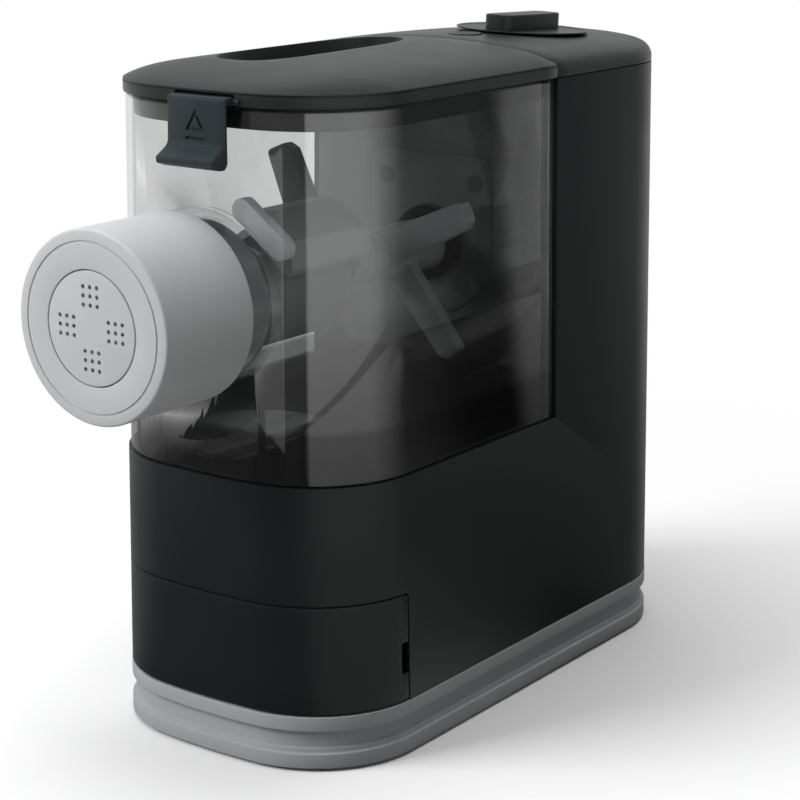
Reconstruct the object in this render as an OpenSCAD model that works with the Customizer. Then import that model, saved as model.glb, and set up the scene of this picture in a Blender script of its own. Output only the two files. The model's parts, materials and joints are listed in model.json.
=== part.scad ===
// Electric pasta maker: a kneading chamber on a low front block, with a drive tower behind it.
// Axes: +Z up, the front faces -Y, origin under the middle of the whole length, on the table.

/* [Body] */
// Width over the plinth
body_w = 135; // [130:1:150]
// Length of the plinth, front to rear
body_l = 268; // [264:1:280]
// Depth of the drive tower
tower_l = 113; // [111:1:122]
// Radius of the bowed front
front_r = 290; // [220:10:400]
// Radius of the front corners
corner_r = 48; // [42:1:52]
// Radius of the rear corners
rear_r = 48; // [44:1:50]
// Wall of the plastic shells
wall = 2.5; // [2:0.1:3]
// How far the housing stands inside the plinth
housing_inset = 1; // [0.6:0.1:1.4]
// How far the chamber stands inside the plinth
chamber_inset = 2; // [1.6:0.1:2.4]
// How far the lid and the tower cap stand inside the plinth
lid_inset = 2.6; // [2.4:0.1:3]
// Gap left between neighbouring covers
seam = 0.5; // [0.3:0.1:0.8]

/* [Heights] */
// Height of the rubber feet under the plinth
foot_h = 1.2; // [0.8:0.1:2]
// Top of the plinth
plinth_h = 23; // [22:0.5:26]
// Top edge of the drawer front
drawer_top = 68; // [60:1:76]
// Deck that carries the chamber
deck_z = 116; // [112:1:120]
// Height of the kneading shaft
axis_z = 185; // [184:0.5:188]
// Lower edge of the lid and of the tower cap
lid_z = 260; // [258:1:270]
// Height of the lid rim
rim_h = 5.6; // [5:0.2:8]
// Rise of the crowned top above the rim
crown_h = 7.7; // [6:0.1:9]
// Fall of the tower's top towards the rear
tower_fall = 3.7; // [2:0.1:4.5]

/* [Plinth] */
// Height of the lower ring
ring_h = 7.6; // [6:0.2:9]
// Height of the groove above it
groove_h = 9.1; // [7:0.1:11]
// Depth of the groove
groove_d = 2.4; // [1.5:0.1:3]
// Wall of the plinth at the groove
plinth_wall = 3.2; // [2.6:0.1:4]
// Thickness of the base plate
base_t = 2.6; // [2:0.1:3.5]

/* [Extruder] */
// How far the locking ring stands in front of the plinth
cap_reach = 57; // [54:1:64]
// Length of the locking ring
cap_l = 48; // [44:1:50]
// Outer radius of the locking ring
cap_r = 36.6; // [36:0.1:39]
// Wall of the locking ring
cap_wall = 3.6; // [3:0.1:4]
// Radius of the opening in the locking ring
face_r = 21.7; // [20:0.1:23]
// Thickness of the shaping disc at its rim
disc_t = 4; // [3:0.1:5]
// Diameter of the strand holes
strand_d = 1.7; // [1.2:0.1:2]
// Spacing of the strand holes
strand_pitch = 3.4; // [3:0.1:4]
// Distance from the disc's middle to each group of strand holes
group_r = 12; // [11.5:0.1:13]
// Radius of the dough tube's flange in the chamber collar
flange_r = 31.6; // [30:0.1:31.8]
// Outer radius of the dough tube inside the chamber
drum_r = 23.4; // [22.5:0.1:25]
// Bore radius of the dough tube
tube_bore = 20; // [18:0.1:21]
// How far the dough tube reaches into the chamber
drum_l = 68; // [60:1:70]
// Clearance between the tube and the chamber collar
tube_gap = 0.4; // [0.3:0.05:0.6]

/* [Kneading] */
// Reach of the paddles from the shaft axis
paddle_reach = 54; // [48:0.5:57]
// Radius of the kneading shaft
bar_r = 10.5; // [9:0.1:11]
// Length of the wiper's round head, across its arm
head_w = 31.4; // [28:0.1:33]
// Thickness of the wiper's head
head_t = 9.6; // [8:0.1:11]
// Radius of the coupling hub at the rear
hub_r = 11.6; // [11:0.1:12]
// Width across the flats of the drive coupling
coupling_af = 10; // [9:0.1:11]

/* [Drive] */
// Radius of the output shaft
shaft_r = 6; // [5.5:0.1:6.5]
// Gear modules from the motor to the output shaft
module_1 = 1; // [0.9:0.05:1]
// Module of the second stage
module_2 = 1.25; // [1.2:0.01:1.26]
// Module of the third stage
module_3 = 1.5; // [1.4:0.01:1.51]
// Radius of the motor can
motor_r = 27; // [25:0.5:28]
// Length of the motor can
motor_l = 36; // [32:0.5:37]
// Radius of the motor shaft
rotor_r = 2.5; // [2:0.1:3]
// Running clearance of shafts in their bearings
run_gap = 0.05; // [0.02:0.01:0.1]

/* [Controls] */
// Sideways place of the knob
knob_x = 7.2; // [0:0.1:9]
// Distance of the knob behind the tower front
knob_back = 59.5; // [56:0.5:60]
// Radius of the knob skirt
knob_r = 29.3; // [24:0.1:30]
// Length of the knob grip
grip_l = 44.5; // [40:0.5:48]
// Width of the knob grip
grip_w = 14; // [10:0.5:16]
// Height of the knob grip
grip_h = 6.4; // [4:0.1:8]
// Radius of the start button
button_r = 7.2; // [6:0.1:8]
// Distance of the start button behind the tower front
button_back = 21.5; // [20:0.5:22]
// Sideways place of the start button
button_x = 2.5; // [-4:0.5:6]

/* [Latch and drawer] */
// Width of the lid latch
latch_w = 28; // [22:0.5:32]
// Sideways place of the latch
latch_x = 3; // [-5:0.5:8]
// Length of the latch below its pin
latch_l = 25; // [20:0.5:27]
// Radius of the latch pin
pin_r = 1.2; // [1:0.1:1.4]
// How far the drawer front wraps round the sides
drawer_wrap = 47; // [46:0.5:54]
// Room left on each side of the drawer tray, up to the plinth's outside
tray_side = 19.5; // [18.5:0.5:24]

/* [Hidden] */
$fn = 64;

// Places along Y
front_y = (cap_reach - body_l) / 2;
rear_y = front_y + body_l;
tower_y = rear_y - tower_l;
half_w = body_w / 2;
corner_x = half_w - corner_r;
bow_y = front_y + front_r;
corner_y = bow_y - sqrt(pow(front_r - corner_r, 2) - pow(corner_x, 2));
corner_turn = atan2(corner_y - bow_y, corner_x);

// Crowned top
rim_top = lid_z + rim_h;
crown_top = rim_top + crown_h;
crown_half = half_w - lid_inset;
crown_r = (pow(crown_half, 2) + pow(crown_h, 2)) / (2 * crown_h);
lid_l = tower_y - front_y - lid_inset;
lid_bow_r = (pow(lid_l, 2) + pow(crown_h, 2)) / (2 * crown_h);
fall_l = tower_l - lid_inset;
fall_r = (pow(fall_l, 2) + pow(tower_fall, 2)) / (2 * tower_fall);
dome_t = 2.2;

// Plinth and its fixings
base_z = foot_h + 2;
base_top = base_z + base_t;
plinth_inside = groove_d + plinth_wall;
post_r = 5.5;
post_x = half_w - 10.5;
post_y = [front_y + 58, tower_y + 14, rear_y - 44];
post_h = 16;
screw_r = 1.6;
screw_head_r = 3.2;
fit = 0.05;

// Drawer
drawer_low = plinth_h + seam;
drawer_back = front_y + drawer_wrap;
shelf_z = drawer_top + seam;
shelf_t = 2.5;
bay_gap = 0.5;
bay_t = 1.5;
tray_w = body_w - 2 * tray_side;
tray_z = plinth_h + 2.8;
tray_t = 2;
tray_front = front_y + 24;
tray_back = tower_y - 6;
tray_h = 34;

// Chamber
chamber_low = deck_z + 0.3;
chamber_top = lid_z - 0.9;
chamber_back = tower_y - 2;
chamber_half = half_w - chamber_inset - wall;
trough_r = chamber_half - 0.6;
trough_t = 2.1;
boss_bore = flange_r + tube_gap;
boss_r = boss_bore + 4;
boss_l = cap_reach - cap_l - 1;
seal_r = hub_r + 0.3;
seal_seat_r = seal_r + 2.1;
seal_flange_r = seal_r + 4.1;

// Tower panel
plate_r = 31.7;
plate_t = 0.8;
plate_top = axis_z + 39;
panel_screws_at = [[-23.3, 27.4], [23.3, 27.4], [-17, -17], [17, -17]];
plug_r = 4;
window_at = [half_w - 28.5, 45.3];
window_r = 3.2;
hub_hole_r = 17;

// Gear train, counted from the motor to the output shaft
pinion_1 = 12;
wheel_1 = 60;
pinion_2 = 14;
wheel_2 = 56;
pinion_3 = 12;
wheel_3 = 48;
pressure = 20;
backlash = 0.16;
shaft_2_z = axis_z - module_3 * (pinion_3 + wheel_3) / 2;
shaft_1_z = shaft_2_z - module_2 * (pinion_2 + wheel_2) / 2;
motor_z = shaft_1_z - module_1 * (pinion_1 + wheel_1) / 2;
case_y = tower_y + wall;
case_t = 2.5;
bearing_r = 14;
bearing_w = 8;
front_bearing_y = case_y + 1;
face_3 = 7;
face_2 = 5;
face_1 = 4;
stage_3_front = front_bearing_y + bearing_w + 0.7;
stage_2_front = stage_3_front + face_3 + 1.8;
stage_1_front = stage_2_front + face_2 + 2;
stage_3_y = [stage_3_front, stage_3_front + face_3];
stage_2_y = [stage_2_front, stage_2_front + face_2];
stage_1_y = [stage_1_front, stage_1_front + face_1];
cover_y = stage_1_y[1] + 2.5;
cover_t = 3;
rear_bearing_y = cover_y - 6;
case_half = module_3 * wheel_3 / 2 + 5;
case_top = axis_z + case_half;
case_low = motor_z - 12;
case_corners = [[-case_half + 5, case_low + 5], [case_half - 5, case_low + 5],
                [-case_half + 5, case_top - 5], [case_half - 5, case_top - 5]];
idler_r = 3;

// Motor
motor_y = cover_y + cover_t;
bell_y = motor_y + motor_l;
bell_t = 3.5;
bush_r = rotor_r + 3.5;
core_r = motor_r - 8;
magnet_r = core_r + 1;
can_t = 2.2;
fan_y = bell_y + bell_t + 2.5;
fan_l = 8;
shaft_end = fan_y + fan_l + 0.5;

// Controls under the tower cap
knob_y = tower_y + knob_back;
knob_gap = 0.3;
knob_z = crown_top - pow(knob_back, 2) / (2 * fall_r) - pow(knob_x, 2) / (2 * crown_r) + knob_gap;
knob_tilt = asin(knob_back / fall_r);
knob_lean = asin(knob_x / crown_r);
skirt_t = 0.9;
knob_shaft_up = 3.6;
button_y = tower_y + button_back;
board_z = lid_z - 8.5;
board_t = 1.6;
board_top = board_z + board_t;
encoder_h = 7;
knob_shaft_r = 3;
switch_h = 4;
button_stem_z = board_top + switch_h + 1.6;

// Latch
latch_pin_y = front_y + lid_inset + 2;
latch_pin_z = lid_z + 1.9;
barrel_r = 2;
plate_back = 4;
plate_front = 6.2;
lip_reach = 13.4;

// Slot in the lid
slot_x = -17;
slot_y = front_y + 102;
slot_w = 36;
slot_l = 90;
slot_wall = 1.6;
slot_floor = lid_z + 2;
slot_floor_t = 1.4;

black = [0.11, 0.12, 0.13];
dark_grey = [0.3, 0.31, 0.33];
mid_grey = [0.55, 0.55, 0.56];
pale_grey = [0.74, 0.74, 0.75];
steel = [0.62, 0.63, 0.66];
brass = [0.78, 0.62, 0.3];
clear = [0.85, 0.9, 0.92, 0.35];

// ---------- outlines ----------

// Points of an arc from angle a0 to a1, in n steps
function arc(cx, cy, r, a0, a1, n) =
  [for (i = [0:n]) let (a = a0 + (a1 - a0) * i / n) [cx + r * cos(a), cy + r * sin(a)]];

// The same arc without its two ends
function inner_arc(cx, cy, r, a0, a1, n) =
  [for (i = [1:n - 1]) let (a = a0 + (a1 - a0) * i / n) [cx + r * cos(a), cy + r * sin(a)]];

// Bowed front, from the left side round to the right side
function front_arcs(inset) = concat(
  arc(-corner_x, corner_y, corner_r - inset, 180, 180 - corner_turn, 12),
  inner_arc(0, bow_y, front_r - inset, -180 - corner_turn, corner_turn, 6),
  arc(corner_x, corner_y, corner_r - inset, corner_turn, 0, 12));

// Rear corners of radius r at depth y
function rear_arcs(inset, y, r) = concat(
  arc(half_w - inset - r, y - r, r, 0, 90, 8),
  arc(inset + r - half_w, y - r, r, 90, 180, 8));

// Whole machine, front block and tower
function body_plan(inset) = concat(front_arcs(inset), rear_arcs(inset, rear_y - inset, rear_r - inset));

// Front block only, closed at depth y with small corners
function block_plan(inset, y, r) = concat(front_arcs(inset), rear_arcs(inset, y, r));

// Tower only, open square at its front
function tower_plan(inset, y) =
  concat([[inset - half_w, y], [half_w - inset, y]], rear_arcs(inset, rear_y - inset, rear_r - inset));

// Rectangle with round corners, centred on x and y
function round_box(x, y, w, h, r) = concat(
  arc(x + w / 2 - r, y + h / 2 - r, r, 0, 90, 6), arc(x - w / 2 + r, y + h / 2 - r, r, 90, 180, 6),
  arc(x - w / 2 + r, y - h / 2 + r, r, 180, 270, 6), arc(x + w / 2 - r, y - h / 2 + r, r, 270, 360, 6));

// ---------- building blocks ----------

// Upright prism of an outline
module slab(points, z0, z1) translate([0, 0, z0]) linear_extrude(z1 - z0) polygon(points);

// Flat shape in x and z, drawn along Y
module along_y(y0, y1) translate([0, y1, 0]) rotate([90, 0, 0]) linear_extrude(y1 - y0) children();

// Flat shape in y and z, drawn along X
module along_x(x0, x1) translate([x0, 0, 0]) rotate([90, 0, 90]) linear_extrude(x1 - x0) children();

module rod_y(x, z, r, y0, y1) translate([x, y0, z]) rotate([-90, 0, 0]) cylinder(r = r, h = y1 - y0);

module rod_x(y, z, r, x0, x1) translate([x0, y, z]) rotate([0, 90, 0]) cylinder(r = r, h = x1 - x0);

module rod_z(x, y, r, z0, z1) translate([x, y, z0]) cylinder(r = r, h = z1 - z0);

module box(x0, x1, y0, y1, z0, z1) translate([x0, y0, z0]) cube([x1 - x0, y1 - y0, z1 - z0]);

module tube_y(x, z, r_out, r_in, y0, y1) difference() {
  rod_y(x, z, r_out, y0, y1);
  rod_y(x, z, r_in, y0 - 1, y1 + 1);
}

// Crowned solid between two faces, sunk by drop
module crown(y0, y1, drop) rod_y(0, crown_top - crown_r, crown_r - drop, y0, y1, $fn = 400);

// The crown over the tower, which falls towards the rear
module tower_crown(drop) intersection() {
  crown(tower_y - 1, rear_y + 1, drop);
  rod_x(tower_y, crown_top - fall_r, fall_r - drop, -half_w, half_w, $fn = 900);
}

// The knob's own axes: it stands square to the crowned top
module at_knob() translate([knob_x, knob_y, knob_z]) rotate([-knob_tilt, knob_lean, 0]) children();

module at_posts() for (side = [-1, 1]) for (y = post_y) on_side(side) translate([post_x, y, 0]) children();

// Mirrors its children to the left when side is -1
module on_side(side) mirror([side < 0 ? 1 : 0, 0, 0]) children();

// Screw along Y, its head at y0, pointing to +Y when l is positive
module screw_y(x, z, r, head_r, y0, head_t, l) {
  rod_y(x, z, head_r, y0, y0 + head_t);
  rod_y(x, z, r, y0 + head_t, y0 + head_t + l);
}

// ---------- gears ----------

function involute(r, base) = r > base ? sqrt(pow(r / base, 2) - 1) * 180 / PI - acos(base / r) : 0;

// Half the angle of a tooth at radius r
function tooth_half(teeth, m, r) =
  let (pitch_r = m * teeth / 2, base = pitch_r * cos(pressure))
  90 / teeth - backlash / pitch_r * 45 / PI + involute(pitch_r, base) - involute(r, base);

function gear_points(teeth, m, phase) =
  let (pitch_r = m * teeth / 2, steps = [-1.15, -0.45, 0.2, 0.8])
  [for (i = [0:teeth - 1]) for (k = [0:7])
    let (rise = k < 4 ? steps[k] : steps[7 - k], r = pitch_r + rise * m,
         half = tooth_half(teeth, m, r), a = phase + 360 * i / teeth + (k < 4 ? -half : half))
    [r * cos(a), r * sin(a)]];

module gear(z, teeth, m, phase, y) along_y(y[0], y[1])
  translate([0, z]) polygon(gear_points(teeth, m, phase));

// ---------- plinth and housing ----------

module plinth() color(mid_grey) difference() {
  union() {
    difference() {
      union() {
        slab(body_plan(0), foot_h, ring_h);
        slab(body_plan(groove_d / 2), ring_h, ring_h + 2.1);
        slab(body_plan(groove_d), ring_h + 2.1, ring_h + groove_h);
        slab(body_plan(0), ring_h + groove_h, plinth_h);
      }
      slab(body_plan(plinth_inside), 0, plinth_h + 1);
    }
    at_posts() rod_z(0, 0, post_r, base_top, plinth_h);
  }
  at_posts() rod_z(0, 0, screw_r + 0.3, 0, plinth_h + 1);
}

module at_feet() for (x = [-1, 1]) for (y = [front_y + 44, rear_y - 24])
  translate([x * (half_w - 26), y, 0]) children();

module base_plate() color(black) difference() {
  slab(body_plan(plinth_inside + 0.3), base_z, base_top);
  at_posts() rod_z(0, 0, screw_r + 0.3, 0, base_top + 1);
  at_feet() rod_z(0, 0, 3, 0, base_top + 1);
  for (i = [0:7]) box(-22, 22, tower_y + 18 + i * 5, tower_y + 20.5 + i * 5, 0, base_top + 1);
}

module rubber_feet() color([0.08, 0.08, 0.08]) at_feet() {
  rod_z(0, 0, 9, 0, base_z);
  rod_z(0, 0, 3, base_z, base_top);
}

module base_screws() color(steel) at_posts() {
  rod_z(0, 0, screw_head_r, base_z - 1.6, base_z);
  rod_z(0, 0, screw_r, base_z, plinth_h + post_h - 4);
}

vent_z = [for (i = [0:5]) motor_z - 12 + i * 6];
vent_half = 18;
gland_x = 0;
gland_z = plinth_h + 12;
gland_r = 6;
board_x = 9;
board_y = tower_y + 12;
board_low = deck_z - 4;
board_l = 56;
board_h = 68;
board_at = [for (y = [board_y + 6, board_y + board_l - 6]) for (z = [board_low + 6, board_low + board_h - 6]) [y, z]];
housing_inside = half_w - housing_inset - wall;

module housing() color(black) difference() {
  union() {
    difference() {
      union() {
        slab(body_plan(housing_inset), plinth_h, deck_z);
        slab(tower_plan(housing_inset, tower_y), deck_z, lid_z);
      }
      slab(body_plan(housing_inset + wall), plinth_h - 1, deck_z - wall);
      slab(tower_plan(housing_inset + wall, tower_y), deck_z - 2 * wall, deck_z + 1);
      slab(tower_plan(housing_inset + wall, tower_y - 1), deck_z, lid_z + 1);
    }
    slab(block_plan(housing_inset + 1, tower_y, 1), shelf_z, shelf_z + shelf_t);
    at_posts() rod_z(0, 0, post_r, plinth_h, plinth_h + post_h);
    at_posts() box(0, housing_inside - post_x + 1, -2, 2, plinth_h, plinth_h + post_h);
    for (p = board_at) rod_x(p[0], p[1], 3, -housing_inside - 1, board_x - housing_inside);
  }
  box(-body_w, body_w, front_y - 1, drawer_back, plinth_h - 1, shelf_z);
  at_posts() rod_z(0, 0, screw_r + fit, plinth_h - 1, plinth_h + post_h - 2);
  rod_y(gland_x, gland_z, gland_r + 0.1, rear_y - 6, rear_y + 1);
  for (z = vent_z) box(-vent_half, vent_half, rear_y - 6, rear_y + 1, z - 1.2, z + 1.2);
}

module drawer_bay() color(dark_grey) {
  inner = tray_w / 2 + bay_gap;
  for (side = [-1, 1]) on_side(side) {
    box(inner, inner + bay_t, drawer_back + 2, tower_y - 1, plinth_h + 0.3, shelf_z);
    box(inner + bay_t, housing_inside - 0.2, drawer_back + 2, tower_y - 1, shelf_z - 2, shelf_z);
  }
  box(-inner, inner, drawer_back + 2, tower_y - 1, plinth_h + 0.3, plinth_h + 2.3);
}

module cord_gland() color([0.1, 0.1, 0.1]) difference() {
  union() {
    rod_y(gland_x, gland_z, gland_r, rear_y - 16, rear_y - housing_inset);
    rod_y(gland_x, gland_z, gland_r + 3, rear_y - housing_inset, rear_y);
  }
  rod_y(gland_x, gland_z, 3.4, rear_y - 17, rear_y + 1);
}

// ---------- tower ----------

function plate_outline(r, top) = concat(
  arc(0, axis_z, r, 180, 360, 28), arc(r - 6, top - 6, 6, 0, 90, 6), arc(6 - r, top - 6, 6, 90, 180, 6));

module at_panel_screws() for (p = panel_screws_at) translate([p[0], 0, axis_z + p[1]]) children();

module tower_panel() color(black) difference() {
  union() {
    box(0.1 - housing_inside, housing_inside - 0.1, tower_y, tower_y + wall, deck_z - wall, lid_z);
    along_y(tower_y - plate_t, tower_y) polygon(plate_outline(plate_r, plate_top));
  }
  rod_y(0, axis_z, hub_hole_r, tower_y - 2, tower_y + wall + 1);
  at_panel_screws() rod_y(0, 0, plug_r + fit, tower_y - 2, tower_y + 0.2 + 1.2);
  at_panel_screws() rod_y(0, 0, screw_r + 0.4, tower_y, tower_y + wall + 1);
  rod_y(window_at[0], axis_z + window_at[1], window_r, tower_y - 1, tower_y + wall + 1);
  translate([window_at[0] + 5.8, tower_y - 1, axis_z + window_at[1] - 3.5]) cube([4.4, 1.6, 4.4]);
}

module panel_plugs() color(dark_grey) at_panel_screws() rod_y(0, 0, plug_r, tower_y - plate_t, tower_y + 0.2);

module panel_screws() color(steel) at_panel_screws() screw_y(0, 0, screw_r, 3.4, tower_y + 0.2, 1.2, 8);

module shaft_seal() color([0.07, 0.07, 0.07])
  tube_y(0, axis_z, hub_hole_r - 0.1, shaft_r + 3, tower_y - plate_t, case_y);

module interlock_sensor() color(dark_grey) {
  x = window_at[0];
  z = axis_z + window_at[1];
  box(x - 6, x + 14, case_y, case_y + 7.5, z - 3.6, z + 7);
  rod_y(x, z, window_r - 0.1, tower_y + 0.2, case_y);
}

module tower_cap() color(black) difference() {
  intersection() {
    union() {
      difference() {
        slab(tower_plan(lid_inset - 0.8, tower_y), lid_z + 0.4, crown_top + 1);
        intersection() {
          slab(tower_plan(lid_inset - 0.8 + wall, tower_y + wall), lid_z, crown_top + 1);
          tower_crown(dome_t);
        }
      }
      at_board_posts() rod_z(0, 0, 3.5, board_top, crown_top);
    }
    tower_crown(0);
  }
  at_knob() rod_z(0, 0, knob_r + 0.5, -knob_gap, 4);
  rod_z(knob_x, knob_y, 5.2, lid_z, crown_top + 1);
  rod_z(button_x, button_y, button_r + 0.3, lid_z, crown_top + 1);
}

module at_board_posts() for (x = [27.5 - half_w, half_w - 27.5]) for (y = [tower_y + 12, rear_y - 37]) translate([x, y, 0]) children();

// ---------- gearbox ----------

module case_outline(inset) polygon(round_box(0, (case_top + case_low) / 2, 2 * (case_half - inset),
  case_top - case_low - 2 * inset, 8 - inset));

module at_case_corners() for (p = case_corners) translate([p[0], 0, p[1]]) children();

module gearbox_case() color(mid_grey) difference() {
  union() {
    difference() {
      along_y(case_y, cover_y) case_outline(0);
      along_y(case_y + case_t, cover_y + 1) case_outline(case_t);
    }
    rod_y(0, axis_z, bearing_r + 2.5, case_y + 1, front_bearing_y + bearing_w);
    at_panel_screws() rod_y(0, 0, 3.6, case_y + 1, stage_3_y[0] - 0.6);
    at_case_corners() rod_y(0, 0, 4, case_y + 1, cover_y);
    rod_y(0, shaft_2_z, 6, case_y + 1, stage_3_y[0] - 0.4);
    rod_y(0, shaft_1_z, 6, case_y + 1, stage_2_y[0] - 0.4);
  }
  rod_y(0, axis_z, shaft_r + 3, case_y - 1, case_y + 2);
  rod_y(0, axis_z, bearing_r + 0.02, front_bearing_y, cover_y);
  at_panel_screws() rod_y(0, 0, screw_r + fit, case_y - 1, stage_3_y[0]);
  at_case_corners() rod_y(0, 0, screw_r + fit, cover_y - 14, cover_y + 1);
  rod_y(0, shaft_2_z, idler_r + 0.02, case_y + 1.5, cover_y);
  rod_y(0, shaft_1_z, idler_r + 0.02, case_y + 1.5, cover_y);
}

module gearbox_cover() color(mid_grey) difference() {
  union() {
    along_y(cover_y, cover_y + cover_t) case_outline(0);
    rod_y(0, axis_z, bearing_r + 2.5, rear_bearing_y, cover_y + 1);
    rod_y(0, shaft_2_z, 6, stage_2_y[1] + 0.4, cover_y + 1);
    rod_y(0, shaft_1_z, 6, stage_1_y[1] + 0.4, cover_y + 1);
  }
  rod_y(0, axis_z, bearing_r + 0.02, rear_bearing_y - 1, rear_bearing_y + bearing_w);
  rod_y(0, shaft_2_z, idler_r + 0.02, stage_2_y[1], cover_y + 1.5);
  rod_y(0, shaft_1_z, idler_r + 0.02, stage_1_y[1], cover_y + 1.5);
  rod_y(0, motor_z, rotor_r + 2, cover_y - 1, cover_y + cover_t + 1);
  at_case_corners() rod_y(0, 0, screw_r + fit, cover_y - 1, cover_y + cover_t + 1);
}

module cover_screws() color(steel) at_case_corners() {
  rod_y(0, 0, screw_head_r, cover_y + cover_t, cover_y + cover_t + 1.8);
  rod_y(0, 0, screw_r, cover_y - 12, cover_y + cover_t);
}

module idler_pins() color(steel) for (z = [shaft_1_z, shaft_2_z]) rod_y(0, z, idler_r, case_y + 1.5, cover_y + 1.5);

module shaft_bearings() color(steel) for (y = [front_bearing_y, rear_bearing_y]) {
  difference() {
    rod_y(0, axis_z, bearing_r, y, y + bearing_w);
    rod_y(0, axis_z, shaft_r + run_gap, y - 1, y + bearing_w + 1);
    tube_y(0, axis_z, bearing_r - 2, shaft_r + 2, y - 1, y + 0.8);
    tube_y(0, axis_z, bearing_r - 2, shaft_r + 2, y + bearing_w - 0.8, y + bearing_w + 1);
  }
}

module first_gear() color([0.85, 0.83, 0.78]) difference() {
  union() {
    gear(shaft_1_z, wheel_1, module_1, 270 + 180 / wheel_1, stage_1_y);
    gear(shaft_1_z, pinion_2, module_2, 90, [stage_2_y[0], stage_1_y[0] + 1]);
  }
  rod_y(0, shaft_1_z, idler_r + run_gap, stage_2_y[0] - 1, stage_1_y[1] + 1);
}

module second_gear() color([0.85, 0.83, 0.78]) difference() {
  union() {
    gear(shaft_2_z, wheel_2, module_2, 270 + 180 / wheel_2, stage_2_y);
    gear(shaft_2_z, pinion_3, module_3, 90, [stage_3_y[0], stage_2_y[0] + 1]);
  }
  rod_y(0, shaft_2_z, idler_r + run_gap, stage_3_y[0] - 1, stage_2_y[1] + 1);
}

module output_gear() color(steel) difference() {
  union() {
    gear(axis_z, wheel_3, module_3, 270 + 180 / wheel_3, stage_3_y);
    rod_y(0, axis_z, shaft_r + 2.2, stage_3_y[1] - 1, stage_3_y[1] + 1.2);
  }
  rod_y(0, axis_z, shaft_r + 0.02, stage_3_y[0] - 1, stage_3_y[1] + 2);
  for (i = [0:5]) rotate_about(axis_z, i * 60) rod_y(22, axis_z, 5.5, stage_3_y[0] - 1, stage_3_y[1] + 1);
}

// Turns its children about the line along Y at height z
module rotate_about(z, angle) translate([0, 0, z]) rotate([0, -angle, 0]) translate([0, 0, -z]) children();

module drive_shaft() color(steel) {
  rod_y(0, axis_z, shaft_r, tower_y - plate_t, rear_bearing_y + bearing_w - 0.5);
  translate([0, tower_y - plate_t, axis_z]) rotate([90, 0, 0]) rotate([0, 0, 30])
    cylinder(d = coupling_af / cos(30), h = 13, $fn = 6);
}

// ---------- motor ----------

module motor_can() color(steel) difference() {
  union() {
    difference() {
      rod_y(0, motor_z, motor_r, motor_y, bell_y);
      rod_y(0, motor_z, motor_r - can_t, motor_y + 2, bell_y + 1);
    }
    rod_y(0, motor_z, bush_r + 2, motor_y + 1, motor_y + 4.5);
  }
  rod_y(0, motor_z, bush_r + 0.02, motor_y - 1, motor_y + 6);
}

module motor_magnets() color(dark_grey) for (side = [0, 1]) mirror([side, 0, 0]) intersection() {
  tube_y(0, motor_z, motor_r - can_t - 0.05, magnet_r, motor_y + 6, bell_y - 6);
  box(7, motor_r, motor_y, bell_y, motor_z - motor_r, motor_z + motor_r);
}

module motor_end_bell() color([0.15, 0.15, 0.16]) difference() {
  union() {
    rod_y(0, motor_z, motor_r, bell_y, bell_y + bell_t);
    rod_y(0, motor_z, bush_r + 2, bell_y - 1.5, bell_y + 1);
  }
  rod_y(0, motor_z, bush_r + 0.02, bell_y - 3, bell_y + bell_t + 1);
  for (i = [0:5]) rotate_about(motor_z, i * 60 + 30) rod_y(16, motor_z, 3.6, bell_y - 1, bell_y + bell_t + 1);
}

module motor_bushes() color(brass) {
  tube_y(0, motor_z, bush_r, rotor_r + run_gap, motor_y + 0.2, motor_y + 4.5);
  tube_y(0, motor_z, bush_r, rotor_r + run_gap, bell_y - 1.5, bell_y + bell_t);
}

cradle_y = motor_y + 16;
cradle_t = 12;
cradle_half = motor_r - 3;
cradle_rim = 6;

module motor_cradle() color(black) difference() {
  union() {
    box(-cradle_half, cradle_half, cradle_y - cradle_t / 2, cradle_y + cradle_t / 2, base_top, motor_z - 12);
    box(-cradle_half - cradle_rim, cradle_half + cradle_rim, cradle_y - cradle_t / 2 - 4,
      cradle_y + cradle_t / 2 + 4, base_top, base_top + 3);
  }
  rod_y(0, motor_z, motor_r + 0.2, motor_y, bell_y);
  for (side = [-1, 1]) rod_z(side * 14, cradle_y, 4, 0, motor_z);
}

module rotor_shaft() color(steel) rod_y(0, motor_z, rotor_r, stage_1_y[0], shaft_end);

module motor_pinion() color(brass) difference() {
  gear(motor_z, pinion_1, module_1, 90, stage_1_y);
  rod_y(0, motor_z, rotor_r + 0.02, stage_1_y[0] - 1, stage_1_y[1] + 1);
}

module rotor_core() color([0.45, 0.46, 0.48]) difference() {
  rod_y(0, motor_z, core_r, motor_y + 8, bell_y - 8);
  rod_y(0, motor_z, rotor_r + 0.02, motor_y, bell_y);
  for (i = [0:11]) rotate_about(motor_z, i * 30)
    box(core_r - 6, core_r + 1, motor_y, bell_y, motor_z - 1.5, motor_z + 1.5);
}

module rotor_windings() color([0.72, 0.42, 0.2]) for (y = [[motor_y + 5.2, motor_y + 8], [bell_y - 8, bell_y - 5.2]])
  tube_y(0, motor_z, core_r - 3, rotor_r + 0.02, y[0], y[1]);

module cooling_fan() color(dark_grey) difference() {
  union() {
    rod_y(0, motor_z, 6, fan_y, fan_y + fan_l);
    rod_y(0, motor_z, motor_r - 3, fan_y, fan_y + 1.2);
    for (i = [0:8]) rotate_about(motor_z, i * 40)
      box(5, motor_r - 4, fan_y + 1, fan_y + fan_l, motor_z - 0.7, motor_z + 0.7);
  }
  rod_y(0, motor_z, rotor_r + 0.02, fan_y - 1, fan_y + fan_l + 1);
}

// ---------- electrics ----------

board_face = board_x - housing_inside;

module power_board() color([0.12, 0.35, 0.2])
  box(board_face, board_face + board_t, board_y, board_y + board_l, board_low, board_low + board_h);

// Box on the power board: its size across, along and up, and its place from the board's corner
module on_board(size, y, z) translate([board_face + board_t, board_y + y, board_low + z]) cube(size);

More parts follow.
